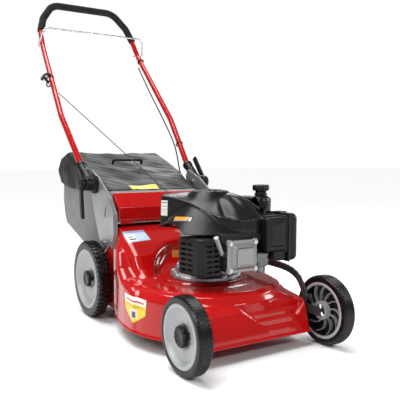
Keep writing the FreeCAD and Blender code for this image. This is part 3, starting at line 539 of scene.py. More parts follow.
def patch(name, corners, target, facing, material, body, count=(14, 10), lift=0.5, shape=None):
    """A thin label laid on target, seen from the facing side: corners go round from lower left."""
    bpy.context.view_layer.update()
    depsgraph = bpy.context.evaluated_depsgraph_get()
    tree = BVHTree.FromObject(target, depsgraph)
    a, b, c, d = [Vector(corner) for corner in corners]
    facing = Vector(facing).normalized()
    columns, rows = count
    points, faces, spots = [], [], []
    for j in range(rows + 1):
        for i in range(columns + 1):
            u, v = i / columns, j / rows
            flat = a.lerp(b, u).lerp(d.lerp(c, u), v)
            spot = tree.ray_cast(put(*(flat + facing * 40)), -facing, 0.09)[0]
            if spot is None:
                spot = tree.find_nearest(put(*flat))[0]
            raised = spot + facing * lift * MM
            points.append((raised.x / MM, (raised.y - CRANK_Y) / MM, raised.z / MM))
            spots.append((u, v))
    for j in range(rows):
        for i in range(columns):
            u, v = (i + 0.5) / columns, (j + 0.5) / rows
            if shape is None or shape(u, v):
                k = j * (columns + 1) + i
                faces.append((k, k + 1, k + columns + 2, k + columns + 1))
    mesh = bpy.data.meshes.new(name)
    mesh.from_pydata([put(*point) for point in points], [], faces)
    layer = mesh.uv_layers.new(name="UVMap")
    for loop in mesh.loops:
        layer.data[loop.index].uv = spots[loop.vertex_index]
    mesh.polygons.foreach_set("use_smooth", [True] * len(mesh.polygons))
    thing = bpy.data.objects.new(name, mesh)
    bpy.context.scene.collection.objects.link(thing)
    shell = thing.modifiers.new("film", "SOLIDIFY")
    shell.thickness = 0.25 * MM
    shell.offset = 1
    return finish(thing, material, body)


def soft_step(t):
    t = np.clip(t, 0, 1)
    return t * t * (3 - 2 * t)


def grid_step(size):
    """The grid step that a field is meshed at, returned unchanged."""
    return size


# ---------------------------------------------------------------- floor, lights and camera
def make_stage():
    floor = bpy.data.meshes.new("floor")
    floor.from_pydata([(-30, -30, 0), (30, -30, 0), (30, 30, 0), (-30, 30, 0)], [], [(0, 1, 2, 3)])
    thing = bpy.data.objects.new("floor", floor)
    bpy.context.scene.collection.objects.link(thing)
    thing.data.materials.append(coated("pale_floor", (0.90, 0.90, 0.90), (0.6, 0.75), mottle=0.01,
                                       depth=0.01, specular=0.2))


def area_light(name, place, target, size, power):
    light = bpy.data.lights.new(name, "AREA")
    light.shape = "RECTANGLE"
    light.size, light.size_y = size
    light.energy = power
    thing = bpy.data.objects.new(name, light)
    bpy.context.scene.collection.objects.link(thing)
    thing.location = place
    thing.rotation_euler = (Vector(target) - Vector(place)).to_track_quat("-Z", "Y").to_euler()


# Name, place, target, size and power of each soft light, in metres and watts.
SOFT_LIGHTS = [("key", (-2.6, -1.0, 2.2), (0, -0.1, 0.3), (0.5, 1.8), 42),
               ("front", (0.9, -3.4, 2.2), (0, -0.3, 0.3), (1.6, 0.35), 34),
               ("right", (3.0, -0.9, 1.35), (0, -0.2, 0.25), (1.1, 0.9), 34),
               ("rim", (1.9, 2.6, 2.4), (0, 0.2, 0.5), (1.6, 1.0), 30)]
SUN_POWER, SKY_LIGHT, SKY_SEEN = 3.05, 0.2, 1.0


def make_light_and_camera():
    world = bpy.data.worlds.new("studio")
    bpy.context.scene.world = world
    world.use_nodes = True
    nodes, links = world.node_tree.nodes, world.node_tree.links
    backdrop = nodes["Background"]
    backdrop.inputs["Color"].default_value = (1, 1, 1, 1)
    seen = nodes.new("ShaderNodeLightPath")
    strength = nodes.new("ShaderNodeMapRange")
    strength.inputs["To Min"].default_value = SKY_LIGHT
    strength.inputs["To Max"].default_value = SKY_SEEN
    links.new(seen.outputs["Is Camera Ray"], strength.inputs["Value"])
    links.new(strength.outputs["Result"], backdrop.inputs["Strength"])
    sun = bpy.data.lights.new("overhead", "SUN")
    sun.energy = SUN_POWER
    sun.angle = math.radians(40)
    overhead = bpy.data.objects.new("overhead", sun)
    overhead.rotation_euler = (math.radians(-12), math.radians(-10), 0)
    bpy.context.scene.collection.objects.link(overhead)
    for light in SOFT_LIGHTS:
        area_light(*light)
    camera = bpy.data.cameras.new("camera")
    camera.lens = 50.56
    camera.sensor_width = 36
    thing = bpy.data.objects.new("camera", camera)
    bpy.context.scene.collection.objects.link(thing)
    thing.location = (-0.9096, CRANK_Y - 1.44504, 0.5270)
    thing.rotation_euler = (math.radians(86.0), 0, math.radians(-31.64))
    bpy.context.scene.camera = thing
    bpy.context.scene.view_settings.view_transform = "Standard"


# ---------------------------------------------------------------- cords
ROPE_POINTS = [(-231, 808, 832), (-61, 112, 420)]
GRIP_ROPE_POINTS = [(-249, 815, 862), (-240, 813, 849), (-231, 808, 832)]
CABLE_POINTS = [(201, 886, 944), (201, 790, 838), (205, 690, 733), (208, 612, 646), (206, 560, 588),
                (200, 528, 540), (193, 500, 490), (188.5, 465, 448), (188, 415, 424), (188, 360, 412),
                (189, 305, 406), (190, 255, 398), (190, 212, 384), (189, 176, 366), (176, 146, 350),
                (118, 138, 336), (68, 138, 318), (20, 139, 305)]


def cord_line(name, points):
    """The points along a smooth spline that has points as its control points, in millimetres."""
    curve = bpy.data.curves.new(name + "_route", "CURVE")
    curve.dimensions = "3D"
    curve.resolution_u = 8
    spline = curve.splines.new("NURBS")
    spline.points.add(len(points) - 1)
    for target, point in zip(spline.points, points):
        target.co = (*put(*point), 1)
    spline.order_u = min(3, len(points))
    spline.use_endpoint_u = True
    thing = bpy.data.objects.new(name + "_route", curve)
    bpy.context.scene.collection.objects.link(thing)
    bpy.context.view_layer.update()
    mesh = bpy.data.meshes.new_from_object(thing)
    line = [Vector((v.co.x / MM, (v.co.y - CRANK_Y) / MM, v.co.z / MM)) for v in mesh.vertices]
    bpy.data.objects.remove(thing)
    bpy.data.meshes.remove(mesh)
    return line


def resample(line, count):
    """count + 1 points evenly spaced along a line."""
    lengths = [0.0]
    for a, b in zip(line, line[1:]):
        lengths.append(lengths[-1] + (b - a).length)
    out = []
    at = 0
    for k in range(count + 1):
        wanted = lengths[-1] * k / count
        while at < len(line) - 2 and lengths[at + 1] < wanted:
            at += 1
        share = (wanted - lengths[at]) / max(lengths[at + 1] - lengths[at], 1e-9)
        out.append(line[at].lerp(line[at + 1], min(share, 1)))
    return out


def make_cords():
    rope = tube("starter_rope_piece", resample(cord_line("rope", ROPE_POINTS), 180), 1.5, 8)
    rope.data.materials.append(ROPE)
    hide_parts("starter_rope")
    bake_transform(rope)
    short = tube("starter_rope_end", resample(cord_line("rope_end", GRIP_ROPE_POINTS), 24), 1.5, 8)
    short.data.materials.append(ROPE)
    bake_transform(short)
    cable = tube("control_cable_piece", resample(cord_line("cable", CABLE_POINTS), 260), 2.5, 12)
    cable.data.materials.append(BLACK_PLASTIC)
    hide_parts("control_cable")
    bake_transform(cable)


# ---------------------------------------------------------------- deck and flap
DOME = [(-60, 20), (250, 20), (250, 40), (247, 65), (238, 140), (224, 159), (208, 166), (152, 168.5),
        (148, 170), (126, 170), (120, 176), (-60, 176)]
NOSE = [(-269, 20), (-268, 40), (-264, 62), (-254, 100), (-246, 122), (-234, 134), (-200, 139), (-150, 146),
        (-100, 153), (0, 160), (40, 160), (40, 20)]
NOSE_SLOPE = [(-269, 20), (-268, 40), (-264, 66), (-258, 78), (-246, 97), (-228, 122), (-207, 147),
              (-186, 155), (-100, 160), (0, 162), (40, 162), (40, 20)]
TAIL = [(440, 20), (440, 150), (245, 314), (212, 301), (150, 268), (108, 236), (78, 200), (40, 168),
        (-20, 150), (-20, 20)]
SKIRT_PLAN = [(-60, -20), (250, -20), (247, 60), (236, 130), (214, 190), (196, 232), (190, 260), (-60, 260)]
SKIRT_SIDE = [(-40, 20), (-40, 140), (20, 164), (80, 176), (118, 200), (160, 244), (205, 262), (250, 262),
              (250, 20)]
NOSE_HALF, TAIL_HALF, RECESS, PAD_Z, SKIRT_Z = 188, 194, 152, 176, 40
STEP_LEVELS = [77, 95, 112, 136, 156]


def stepped_nose(x, y, z):
    """The nose in profile: a box edge, cut back across its middle to a slope with treads."""
    left = -78 + (154 - z) * 1.3
    right = np.where(z < 123, 186 - (123 - z) * 1.25, 186 - (z - 123) * 2.0)
    mask = soft_step((x - left) / 7) * soft_step((right - x) / 7)
    out = np.zeros_like(x)
    for low, high in zip(STEP_LEVELS, STEP_LEVELS[1:]):
        rise = np.clip((z - low) / (high - low - 3), 0, 1) * np.clip((high - z) / 3, 0, 1)
        out = out + 7 * rise
    slope = polygon(y, z, NOSE_SLOPE, 5) - out
    return polygon(y, z, NOSE, 6) * (1 - mask) + slope * mask


def deck_field(p):
    x, y, z = p
    lip = 3.6 * (1 - soft_step((z - SKIRT_Z - 3) / 4))
    dome = polygon(np.hypot(x, y), z, DOME, 3) - lip
    nose = meet(stepped_nose(x, y, z) - lip, np.abs(x) - NOSE_HALF - lip, 9)
    tail = meet(polygon(y, z, TAIL, 6), np.abs(x) - TAIL_HALF, 26)
    tail = meet(tail, -cylinder(p, 2, (0, 0), RECESS, PAD_Z - 3, 500, 6), 16)
    skirt = meet(polygon(np.abs(x), y, SKIRT_PLAN, 10) - lip, polygon(y, z, SKIRT_SIDE, 8), 22)
    return join(join(join(dome, nose, 10), skirt, 12), tail, 14)


def make_deck():
    def open_faces(middle):
        x, y, z = middle
        rear = (y - 440) * 0.644 + (z - 150) * 0.765
        return (z < SKIRT_Z) | ((rear > -3) & (y > 255))

    deck = net("deck_shell", deck_field, (-262, -282, 30), (262, 450, 326), grid_step(3.2), 2.6, open_faces)
    return finish(deck, RED, "chassis", "deck")


FLAP_HINGE, FLAP_HALF = (243, 324), 182


def make_flap():
    """The discharge flap: a sloped face over an upright one, with a folded edge all round."""
    def field(p):
        x, y, z = p
        front = polygon(y, z, [(240.5, 327), (240.5, 374), (285, 420), (292, 420), (292, 327)], 4)
        body = meet(front, np.abs(x) - FLAP_HALF, 6)
        hollow = meet(polygon(y, z, [(244, 300), (244, 373), (287, 417), (340, 440), (340, 300)], 3),
                      np.abs(x) - FLAP_HALF + 3.5, 4)
        bead = rounded_box(p, (0, 241, 331), (176, 2.6, 3.5), 2.4)
        return join(meet(body, -hollow), bead, 2)

    flap = net("flap_cover", field, (-188, 232, 322), (188, 300, 426), grid_step(2.0))
    finish(flap, RED, "flap")
    sleeve = [(-20, 4.2), (20, 4.2), (20, 6.2), (-20, 6.2)]
    for side in (-155, 0, 155):
        knuckle = turned("flap_knuckle_%d" % (side + 200), sleeve, 0, (side, *FLAP_HINGE), 32)
        finish(sharpen(knuckle), RED, "flap")
    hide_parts("flap")


# ---------------------------------------------------------------- wheels
# For each end: the axle's y, the tyre's radius and the rim's radius.
WHEELS = {"front": (-280, 100, 80), "rear": (360, 128, 99)}


def make_wheel(end, side, y, radius, rim):
    """A moulded wheel: dish and hub, with curved spokes behind it, a rubber tyre and a lobed cap."""
    s = SIDES[side]
    centre = (0, y, radius)
    body = "wheel_%s_%s" % (end, side)
    deep = 9 if end == "rear" else 5

    def ring(profile):
        return [(s * a, r) for a, r in profile]

    dish = turned("rim_%s_%s" % (end, side), ring([
        (214, 17.5), (214, 22), (236 - deep, 24), (242 - deep, 30), (243.5 - deep, 36),
        (243.5 - deep, rim - 22), (244.5 - deep, rim - 18), (250, rim - 10), (251.8, rim - 8.5),
        (252.6, rim - 7), (252.6, rim - 1.5), (251, rim + 0.5), (246, rim + 0.5), (240, rim - 1),
        (222, rim - 1), (215, rim + 0.5), (213, rim + 0.5), (211.8, rim - 1), (211.8, rim - 6),
        (213, rim - 8), (222, rim - 9), (240 - deep, rim - 12), (240 - deep, 33), (226, 27), (212, 26),
        (212, 17.5)]), 0, centre, 96)
    sharpen(dish, 50)
    spokes = []
    for k in range(11):
        base = 2 * math.pi * k / 11
        line = []
        for j in range(9):
            t = j / 8
            r = 25 + (rim - 33) * t
            angle = base + 0.55 * t * t
            line.append((y + r * math.cos(angle), radius + r * math.sin(angle)))
        points, faces = [], []
        for j, (py, pz) in enumerate(line):
            a, b = line[max(j - 1, 0)], line[min(j + 1, 8)]
            way = Vector((b[0] - a[0], b[1] - a[1])).normalized()
            across = Vector((-way.y, way.x)) * 1.5
            inner = 238 - deep - 11 + 3 * math.sin(math.pi * j / 8)
            for x, w in ((inner, 0.5), (inner, -0.5), (241 - deep, -0.9), (241 - deep, 0.9)):
                points.append((s * x, py + across.x * w, pz + across.y * w))
        for j in range(8):
            for k2 in range(4):
                n = (k2 + 1) % 4
                faces.append((j * 4 + k2, j * 4 + n, j * 4 + 4 + n, j * 4 + 4 + k2))
        faces += [(3, 2, 1, 0), (32, 33, 34, 35)]
        spoke = clean(mesh_object("spoke", points, faces))
        spokes.append(sharpen(spoke, 40))
    # The dish's inner face between hub and rim gets black plastic: painted shade for the shadow inside the
    # wheel behind the spokes, not the wheel's own colour
    for piece in [dish] + spokes:
        piece.data.materials.append(SILVER)
        piece.data.materials.append(BLACK_PLASTIC)
    for face in dish.data.polygons:
        middle = face.center
        out = abs(middle.x) / MM
        far = math.hypot((middle.y - CRANK_Y) / MM - y, middle.z / MM - radius)
        face.material_index = int(27 < far < rim - 8.2 and out < 241 - deep)
    dish = merge("rim_%s_%s" % (end, side), [dish] + spokes)
    finish(dish, (), body, "wheel_%s_%s" % (end, side))

    lugs = 46 if end == "rear" else 60

    def tread(angle, a, r):
        across = abs(a) - 232
        if end == "rear":
            if r < radius - 3.2:
                return r
            block = math.sin(angle * lugs + (0.0 if a * s > 232 else math.pi))
            groove = 1.0 if block > -0.45 else 0.0
            mid = 0.0 if abs(across) < 2.0 else 1.0
            return r - 3.4 * (1 - groove) if mid else r - 3.4
        if abs(across) > 11 and r > radius - 3:
            return r - (1.6 if math.sin(angle * lugs) > 0.86 else 0.0)
        return r

    crown = []
    if end == "rear":
        for a in (215.5, 219, 223, 227, 229.8, 230.4, 233.6, 234.2, 237, 241, 245, 248.5):
            edge = max(0.0, abs(a - 232) - 12) / 5
            crown.append((a, radius - 0.2 - 2.2 * edge * edge))
    else:
        for k in range(45):
            a = 215.2 + (248.8 - 215.2) * k / 44
            edge = max(0.0, abs(a - 232) - 11) / 6
            wave = 1.0 * (0.5 + 0.5 * math.cos(2 * math.pi * (a - 232) / 4.2))
            crown.append((a, radius - 0.15 - wave - 2.6 * edge * edge))
    shoulder = radius - 6
    profile = ([(213.2, rim + 0.2), (212.2, rim + 3), (212, rim + 8), (212.4, shoulder)] + crown
               + [(251.6, shoulder), (252, rim + 8), (251.8, rim + 3), (250.6, rim + 0.2)])
    tyre = turned("tyre_%s_%s_tread" % (end, side), ring(profile), 0, centre,
                  lugs * 12, tread)
    finish(sharpen(tyre, 40), RUBBER, body, "tyre_%s_%s" % (end, side))

    def lobes(angle, a, r):
        return r * (1 - 0.075 * (0.5 + 0.5 * math.cos(angle * 12)) ** 2) if r > 20 else r

    cap = turned("cap_%s_%s" % (end, side), ring([
        (240, 3), (240, 26), (244, 27.5), (249.5, 27.5), (251.6, 26), (252.8, 23.5), (253.2, 19.5),
        (252.2, 17), (252.0, 4), (251.8, 0.4)]), 0, centre, 192, lobes, closed=False)
    finish(sharpen(cap, 40), BLACK_PLASTIC, body, "hub_cap_%s_%s" % (end, side))


# ---------------------------------------------------------------- handle
HANDLE_POINTS = [(219, 450, 485), (219, 486, 514), (235, 645, 696), (217, 925, 1001), (212, 974, 1073),
                 (192, 1004, 1136), (140, 1040, 1207)]
HANDLE_RADII = [120, 160, 160, 130, 60, 60]
HINGE = (403, 447)


def mirrored(points, radii):
    """A bent line and its mirror image in x, joined."""
    right = [(-x, y, z) for x, y, z in points]
    return rounded_path(points + right[::-1], radii + radii[::-1])


def make_handle():
    bar_line = mirrored(HANDLE_POINTS, HANDLE_RADII)
    finish(tube("handle_bar", bar_line, 11, 32), RED, "handle", "handle_tube")
    grip_line = resample(mirrored(HANDLE_POINTS[4:], HANDLE_RADII[4:]), 160)

    def swell(t):
        end = min(t, 1 - t)
        return 0.93 + 0.07 * min(1, end / 0.008) + 0.008 * math.sin(t * 61) + 0.006 * math.sin(t * 143)

    sleeve = tube("grip_sleeve", grip_line, 15, 32, swell=swell)
    finish(sleeve, FOAM, "handle", "foam_grip")
    corner = (222, 893, 1073)
    left = [(196, 925, 1001), (239, 925, 1001), corner]
    hoop = left + [(-x, y, z) for x, y, z in left[::-1]]
    wire = tube("bail_wire", rounded_path(hoop, [7, 22, 22, 7]), 3.5, 16)
    finish(wire, CHROME, "bail", "bail")


def turn_about_x(y, z, degrees):
    """Coordinates along and across a direction in the YZ plane."""
    a = math.radians(degrees)
    return y * math.cos(a) + z * math.sin(a), -y * math.sin(a) + z * math.cos(a)


def make_knuckle(side):
    """The moulded hinge: a ribbed disc, an eye and a square-shouldered socket round the tube."""
    s = SIDES[side]
    start, way = Vector((0, 450, 485)), Vector((0, 36, 29)).normalized()
    pivot = Vector((219, HINGE[0], HINGE[1]))
    head, tail = pivot + way * 14, pivot + way * 106

    def field(p):
        x, y, z = p[0] * s, p[1], p[2]
        q = (x, y, z)
        around = np.arctan2(z - HINGE[1], y - HINGE[0])
        teeth = 1.6 * (np.cos(around * 18) > 0.2)
        disc = cylinder(q, 0, HINGE, 34, 197.6, 208.5, 2.5) + np.where(x > 203, teeth, 0) * 0.6
        eye = cylinder(q, 0, HINGE, 24, 197.6, 236.8, 4)
        socket = bar(q, head, tail, 16.5)
        over = (y - tail.y) * way.y + (z - tail.z) * way.z
        socket = meet(socket, over, 1.5)
        web = bar(q, (214, HINGE[0] + 4, HINGE[1] + 10), (214, HINGE[0] + 40, HINGE[1] + 40), 13)
        collar = meet(meet(bar(q, head, tail, 18.5), over + 0.5, 1), -(over + 12), 1)
        bore = bar(q, start + Vector((219, 0, 0)), tail + way * 60, 11.1)
        bolt_hole = cylinder(q, 0, HINGE, 6.2, 180, 250)
        solid = join(join(join(join(disc, eye, 5), socket, 8), web, 6), collar, 1)
        return meet(meet(solid, -bore, 0.8), -bolt_hole, 0.6)

    low, high = (190, 362, 405), (244, 500, 530)
    if s < 0:
        low, high = (-244, 362, 405), (-190, 500, 530)
    knuckle = net("knuckle_%s_moulding" % side, field, low, high, grid_step(1.6))
    finish(knuckle, BLACK_PLASTIC, "handle", "knuckle_" + side)


def make_cam_lever(side, degrees):
    s = SIDES[side]

    def field(p):
        x = p[0] * s
        u, v = turn_about_x(p[1] - HINGE[0], p[2] - HINGE[1], degrees)
        q = (x, u, v)
        eye = cylinder(q, 0, (0, 0), 22, 237.7, 257.3, 5)
        lever = rounded_box(q, (249.5, 62, 0), (5.2, 58, 10), 3.5)
        waist = rounded_box(q, (258.5, 70, 0), (4, 40, 5.5), 3)
        bolt_hole = cylinder(q, 0, (0, 0), 6.4, 230, 252)
        nut = rounded_box(q, (254, 0, 0), (4.5, 7, 7), 1.5)
        return join(meet(meet(join(eye, lever, 8), -waist, 2), -bolt_hole, 0.5), nut, 1)

    reach = turn_about_x(118, 0, -degrees)
    corners = [(HINGE[0] + a, HINGE[1] + b) for a, b in ((0, 0), reach)]
    ys, zs = [c[0] for c in corners], [c[1] for c in corners]
    xs = sorted((s * 232, s * 262))
    lever = net("cam_lever_%s_moulding" % side, field, (xs[0], min(ys) - 28, min(zs) - 28),
                (xs[1], max(ys) + 28, max(zs) + 28), grid_step(1.6))
    finish(lever, BLACK_PLASTIC, "cam_lever_" + side, "cam_lever_" + side)


# ---------------------------------------------------------------- engine
COWL = [(-126, 60), (-73, -88), (-43, -145), (-2, -183), (52, -191), (102, -172), (130, -120), (137, 20),
        (104, 104), (-98, 108)]
GRILLE = (2, -22)
COWL_LOW, COWL_HIGH = 322, 442
SHOULDER_Y = [-190, -165, -140, -115, -90, -60, -30, 0, 30, 60, 110]
SHOULDER_Z = [361, 365, 372, 381, 391, 402, 409, 414, 418, 421, 424]


def cowl_depth(x, y, softness=13.0):
    """How far a point is inside the convex outline, without a crease where two sides are equally near."""
    total = 0
    for (ax, ay), (bx, by) in zip(COWL, COWL[1:] + COWL[:1]):
        length = math.hypot(bx - ax, by - ay)
        inward = ((x - ax) * -(by - ay) + (y - ay) * (bx - ax)) / length
        total = total + np.exp(np.clip(-inward / softness, -20, 20))
    return -softness * np.log(total)


def cowl_top(x, y):
    """Height of the blower housing's top: a shoulder that falls to the front, a dome and two scoops."""
    depth = cowl_depth(x, y)
    shoulder = np.interp(y, SHOULDER_Y, SHOULDER_Z)
    crown = 436 + 0.02 * y
    ground = shoulder + (crown - shoulder) * np.sin(np.clip((depth + 2) / 112, 0, 1) * math.pi / 2)
    scoops = 0
    for end_x, end_y in ((-24, -152), (40, -178)):
        way = np.array([end_x - GRILLE[0], end_y - GRILLE[1]], float)
        length = np.hypot(*way)
        way = way / length
        run = (x - GRILLE[0]) * way[0] + (y - GRILLE[1]) * way[1]
        off = (x - GRILLE[0]) * way[1] - (y - GRILLE[1]) * way[0]
        width = 6 + 10 * np.clip((run - 60) / 90, 0, 1)
        scoops = scoops + (7 * soft_step((run - 62) / 50) * np.exp(-(off / width) ** 2)
                           * soft_step((depth + 4) / 10))
    return ground - scoops


def cowl_field(p):
    x, y, z = p
    edge = polygon(x, y, COWL, 24)
    lean = edge + (z - COWL_LOW) * 0.05
    top = z - cowl_top(x, y)
    body = meet(lean, top * 0.86, 5)
    around = np.hypot(x - GRILLE[0], (y - GRILLE[1]) * 1.05)
    boss = np.maximum(around - (70 - (z - 420) * 0.9), z - COWL_HIGH + 0.0016 * around ** 2)
    rim = np.abs(around - 55) - 2.2
    ring = np.maximum(rim, np.abs(z - COWL_HIGH + 4.5) - 1.6)
    body = join(body, boss, 5)
    body = meet(body, -ring, 0.8)
    for i in range(-4, 5):
        slot_x = GRILLE[0] + 10.5 * i
        reach = math.sqrt(max(0, 46 ** 2 - (10.5 * i) ** 2))
        if reach < 14:
            continue
        slot = rounded_box(p, (slot_x, GRILLE[1] - reach / 2 - 4, COWL_HIGH), (3.0, reach / 2 - 4, 9), 2.8)
        body = meet(body, -slot, 0.8)
        slot = rounded_box(p, (slot_x, GRILLE[1] + reach / 2 + 4, COWL_HIGH), (3.0, reach / 2 - 4, 9), 2.8)
        body = meet(body, -slot, 0.8)
    groove = np.maximum(np.abs(lean + 0.2) - 1.2, np.abs(z - 331) - 0.9)
    body = meet(body, -groove, 0.5)
    filter_room = plate(p, (80, -230, 300), (200, -106, 402), 4)
    return meet(body, -filter_room, 3)


def make_cowl():
    def below(middle):
        return middle[2] < COWL_LOW

    cowl = net("cowl_shell", cowl_field, (-134, -200, 314), (146, 118, 450), grid_step(1.9), 2.4, below)
    return finish(cowl, SHROUD_BLACK, "chassis", "blower_housing")


def make_base():
    """The cast crankcase: a bolted flange with ribs, the drum and the oil filler's spout."""
    def field(p):
        x, y, z = p
        r = np.hypot(x, y)
        body = polygon(r, z, [(-40, 176.2), (107, 176.2), (107, 186), (101, 190), (95, 192), (91, 206),
                              (80, 212), (76, 316), (-40, 316)], 1.5)
        angle = np.arctan2(y, x)
        bosses = 1e3
        for degrees in (40, 140, 220, 320, 180, 270, 0):
            a = math.radians(degrees)
            spot = (98 * math.cos(a), 98 * math.sin(a))
            bosses = np.minimum(bosses, cylinder(p, 2, spot, 10, 176.4, 194, 1.5))
        body = join(body, bosses, 4)
        ribs = 1e3
        for k in range(14):
            a = math.radians(k * 360 / 14 + 12)
            off = np.abs(-x * math.sin(a) + y * math.cos(a)) - 2
            ahead = x * math.cos(a) + y * math.sin(a)
            low = z - (232 - (ahead - 76) * 1.7)
            ribs = np.minimum(ribs, np.maximum(np.maximum(off, low), np.maximum(ahead - 104, 60 - ahead)))
        ribs = np.maximum(ribs, 178 - z)
        body = join(body, ribs, 4)
        spout = bar(p, (96, 66, 184), (96, 66, 230), 13.5)
        spout = meet(spout, z - 238, 1)
        body = join(body, spout, 8)
        body = meet(body, -cylinder(p, 2, (96, 66), 8.4, 200, 250), 0.8)
        brake = meet(bar(p, (-30, 92, 230), (-30, 92, 296), 7), z - 299.6, 1)
        return meet(join(body, brake, 4), 176.2 - z, 0.5)

    base = net("crankcase_casting", field, (-114, -114, 172), (118, 114, 320), grid_step(2.0))
    return finish(base, ALLOY, "chassis", "crankcase")


def make_block():
    """The finned cylinder, its head and the plug boss, in dark casting."""
    def field(p):
        x, y, z = p
        core = cylinder(p, 1, (0, 268), 36, -150, -60, 2)
        head = plate(p, (-47.5, -188, 219), (47.5, -146, 311), 5)
        baffle = plate(p, (-60, -182, 300), (76, -110, 326), 4)
        head = join(head, baffle, 4)
        fins = 1e3
        for i in range(8):
            low = 222 + 12 * i
            fins = np.minimum(fins, plate(p, (-46, -146, low), (46, -78, low + 4), 1.4))
        side = 1e3
        for i in range(6):
            side = np.minimum(side, plate(p, (-52, -186 + 7 * i, 226), (52, -183 + 7 * i, 306), 1))
        plug = cylinder(p, 0, (-184, 270), 7, -64, -40, 1)
        body = join(join(core, head, 4), join(fins, side, 1), 2)
        return join(body, plug, 2)

    block = net("finned_cylinder", field, (-68, -194, 214), (82, -60, 330), grid_step(1.9))
    return finish(block, DARK_ALLOY, "chassis", "cylinder_block")


def make_valve_cover():
    """Stepped cast cover with bolted corners and a plain raised panel."""
    def field(p):
        x, y, z = p
        flange = plate(p, (-50, -194, 218), (50, -188.1, 308), 2)
        ears = 1e3
        for ex in (-43.5, 43.5):
            for ez in (224.5, 301.5):
                ears = np.minimum(ears, cylinder(p, 1, (ex, ez), 9.5, -196, -188.1, 1.5))
        step1 = plate(p, (-39, -203, 229), (39, -186, 297), 6)
        step2 = plate(p, (-34, -207, 234), (34, -190, 292), 4)
        body = join(join(flange, ears, 3), step1, 5)
        body = join(body, step2, 2)
        gap = np.abs(rounded_box(p, (4, -205, 259), (32, 30, 28.5), 9)) - 1.6
        body = meet(body, -np.maximum(gap, y + 203.2), 0.8)
        raised = plate(p, (-22, -209.4, 240), (28, -200, 286), 3)
        return join(body, raised, 1.5)

    cover = net("valve_cover_casting", field, (-58, -212, 210), (58, -184, 316), grid_step(1.3))
    return finish(cover, COVER_ALLOY, "chassis", "valve_cover")


GUARD = [(-132, -66), (-122, -147), (-108, -164), (-58, -177), (-58, -90), (-84, -66)]


def make_guard():
    """The muffler guard: a chamfered box with louvres in both outer faces."""
    def field(p):
        x, y, z = p
        edge = polygon(x, y, GUARD, 6)
        body = meet(edge, np.abs(z - 260.5) - 52.5, 7)
        for i in range(6):
            level = 222 + 14.5 * i
            left = np.maximum(np.abs(z - level - 0.25 * (x + 130)) - 2.8,
                              np.maximum(np.abs(np.abs(y + 104) - 15) - 12, np.abs(x + 130) - 9))
            front = np.maximum(np.abs(z - level + 0.35 * (y + 170)) - 2.2,
                               np.maximum(np.abs(np.abs(x + 82) - 10) - 7, np.abs(y + 172) - 9))
            body = meet(body, -left, 1.2)
            body = meet(body, -front, 1.2)
        outline = np.abs(np.maximum(np.abs(y + 104) - 33, np.abs(z - 258) - 44)) - 1.2
        frame_left = np.maximum(outline, edge - 1.5)
        body = join(body, np.maximum(frame_left, np.abs(x + 128) - 8), 1)
        return body

    guard = net("muffler_guard_moulding", field, (-140, -184, 202), (-50, -58, 318), grid_step(1.6))
    return finish(guard, BLACK_PAINT, "chassis", ("muffler_guard",))


def make_filter():
    """The air filter's base with its straps, and the big rounded cover with a pressed groove."""
    def base(p):
        x, y, z = p
        body = plate(p, (74, -212, 268), (146, -116, 366), 9)
        lower = plate(p, (100, -208, 240), (146, -120, 300), 8)
        body = join(body, lower, 4)
        straps = 1e3
        for sy in (-186, -150):
            straps = np.minimum(straps, plate(p, (80, sy - 8, 352), (150, sy + 8, 371), 3))
        lip = plate(p, (139, -214, 264), (146, -114, 370), 2.5)
        panel = plate(p, (84, -216, 284), (132, -209, 352), 5)
        return meet(join(join(join(body, straps, 2), lip, 1.5), panel, 3), x - 145.8, 0.4)

    def cover(p):
        x, y, z = p
        body = plate(p, (146.2, -216, 238), (186, -108, 376), 17)
        rim = plate(p, (146.2, -217, 237), (153, -107, 377), 3)
        body = join(meet(body, 146.2 - x, 0.5), rim, 3)
        groove = np.abs(rounded_box(p, (166, -162, 307), (30, 46, 60), 20)) - 1.6
        body = meet(body, -np.maximum(groove, 174 - x), 1)
        dip = np.maximum(np.abs(x - 160) - 2.0, -rounded_box(p, (160, -162, 307), (30, 52.6, 67.6), 16))
        body = meet(body, -dip, 1)
        latches = np.minimum(plate(p, (146, -178, 374), (172, -146, 379), 2),
                             plate(p, (146, -178, 235), (172, -146, 240), 2))
        return join(body, latches, 2)

    housing = net("filter_housing", base, (68, -220, 232), (150, -106, 380), grid_step(1.9))
    finish(housing, BLACK_PLASTIC, "chassis", "air_filter_base")
    lid = net("filter_lid", cover, (142, -222, 228), (192, -102, 384), grid_step(1.9))
    finish(lid, BLACK_PLASTIC, "filter_cover", "air_filter_cover")


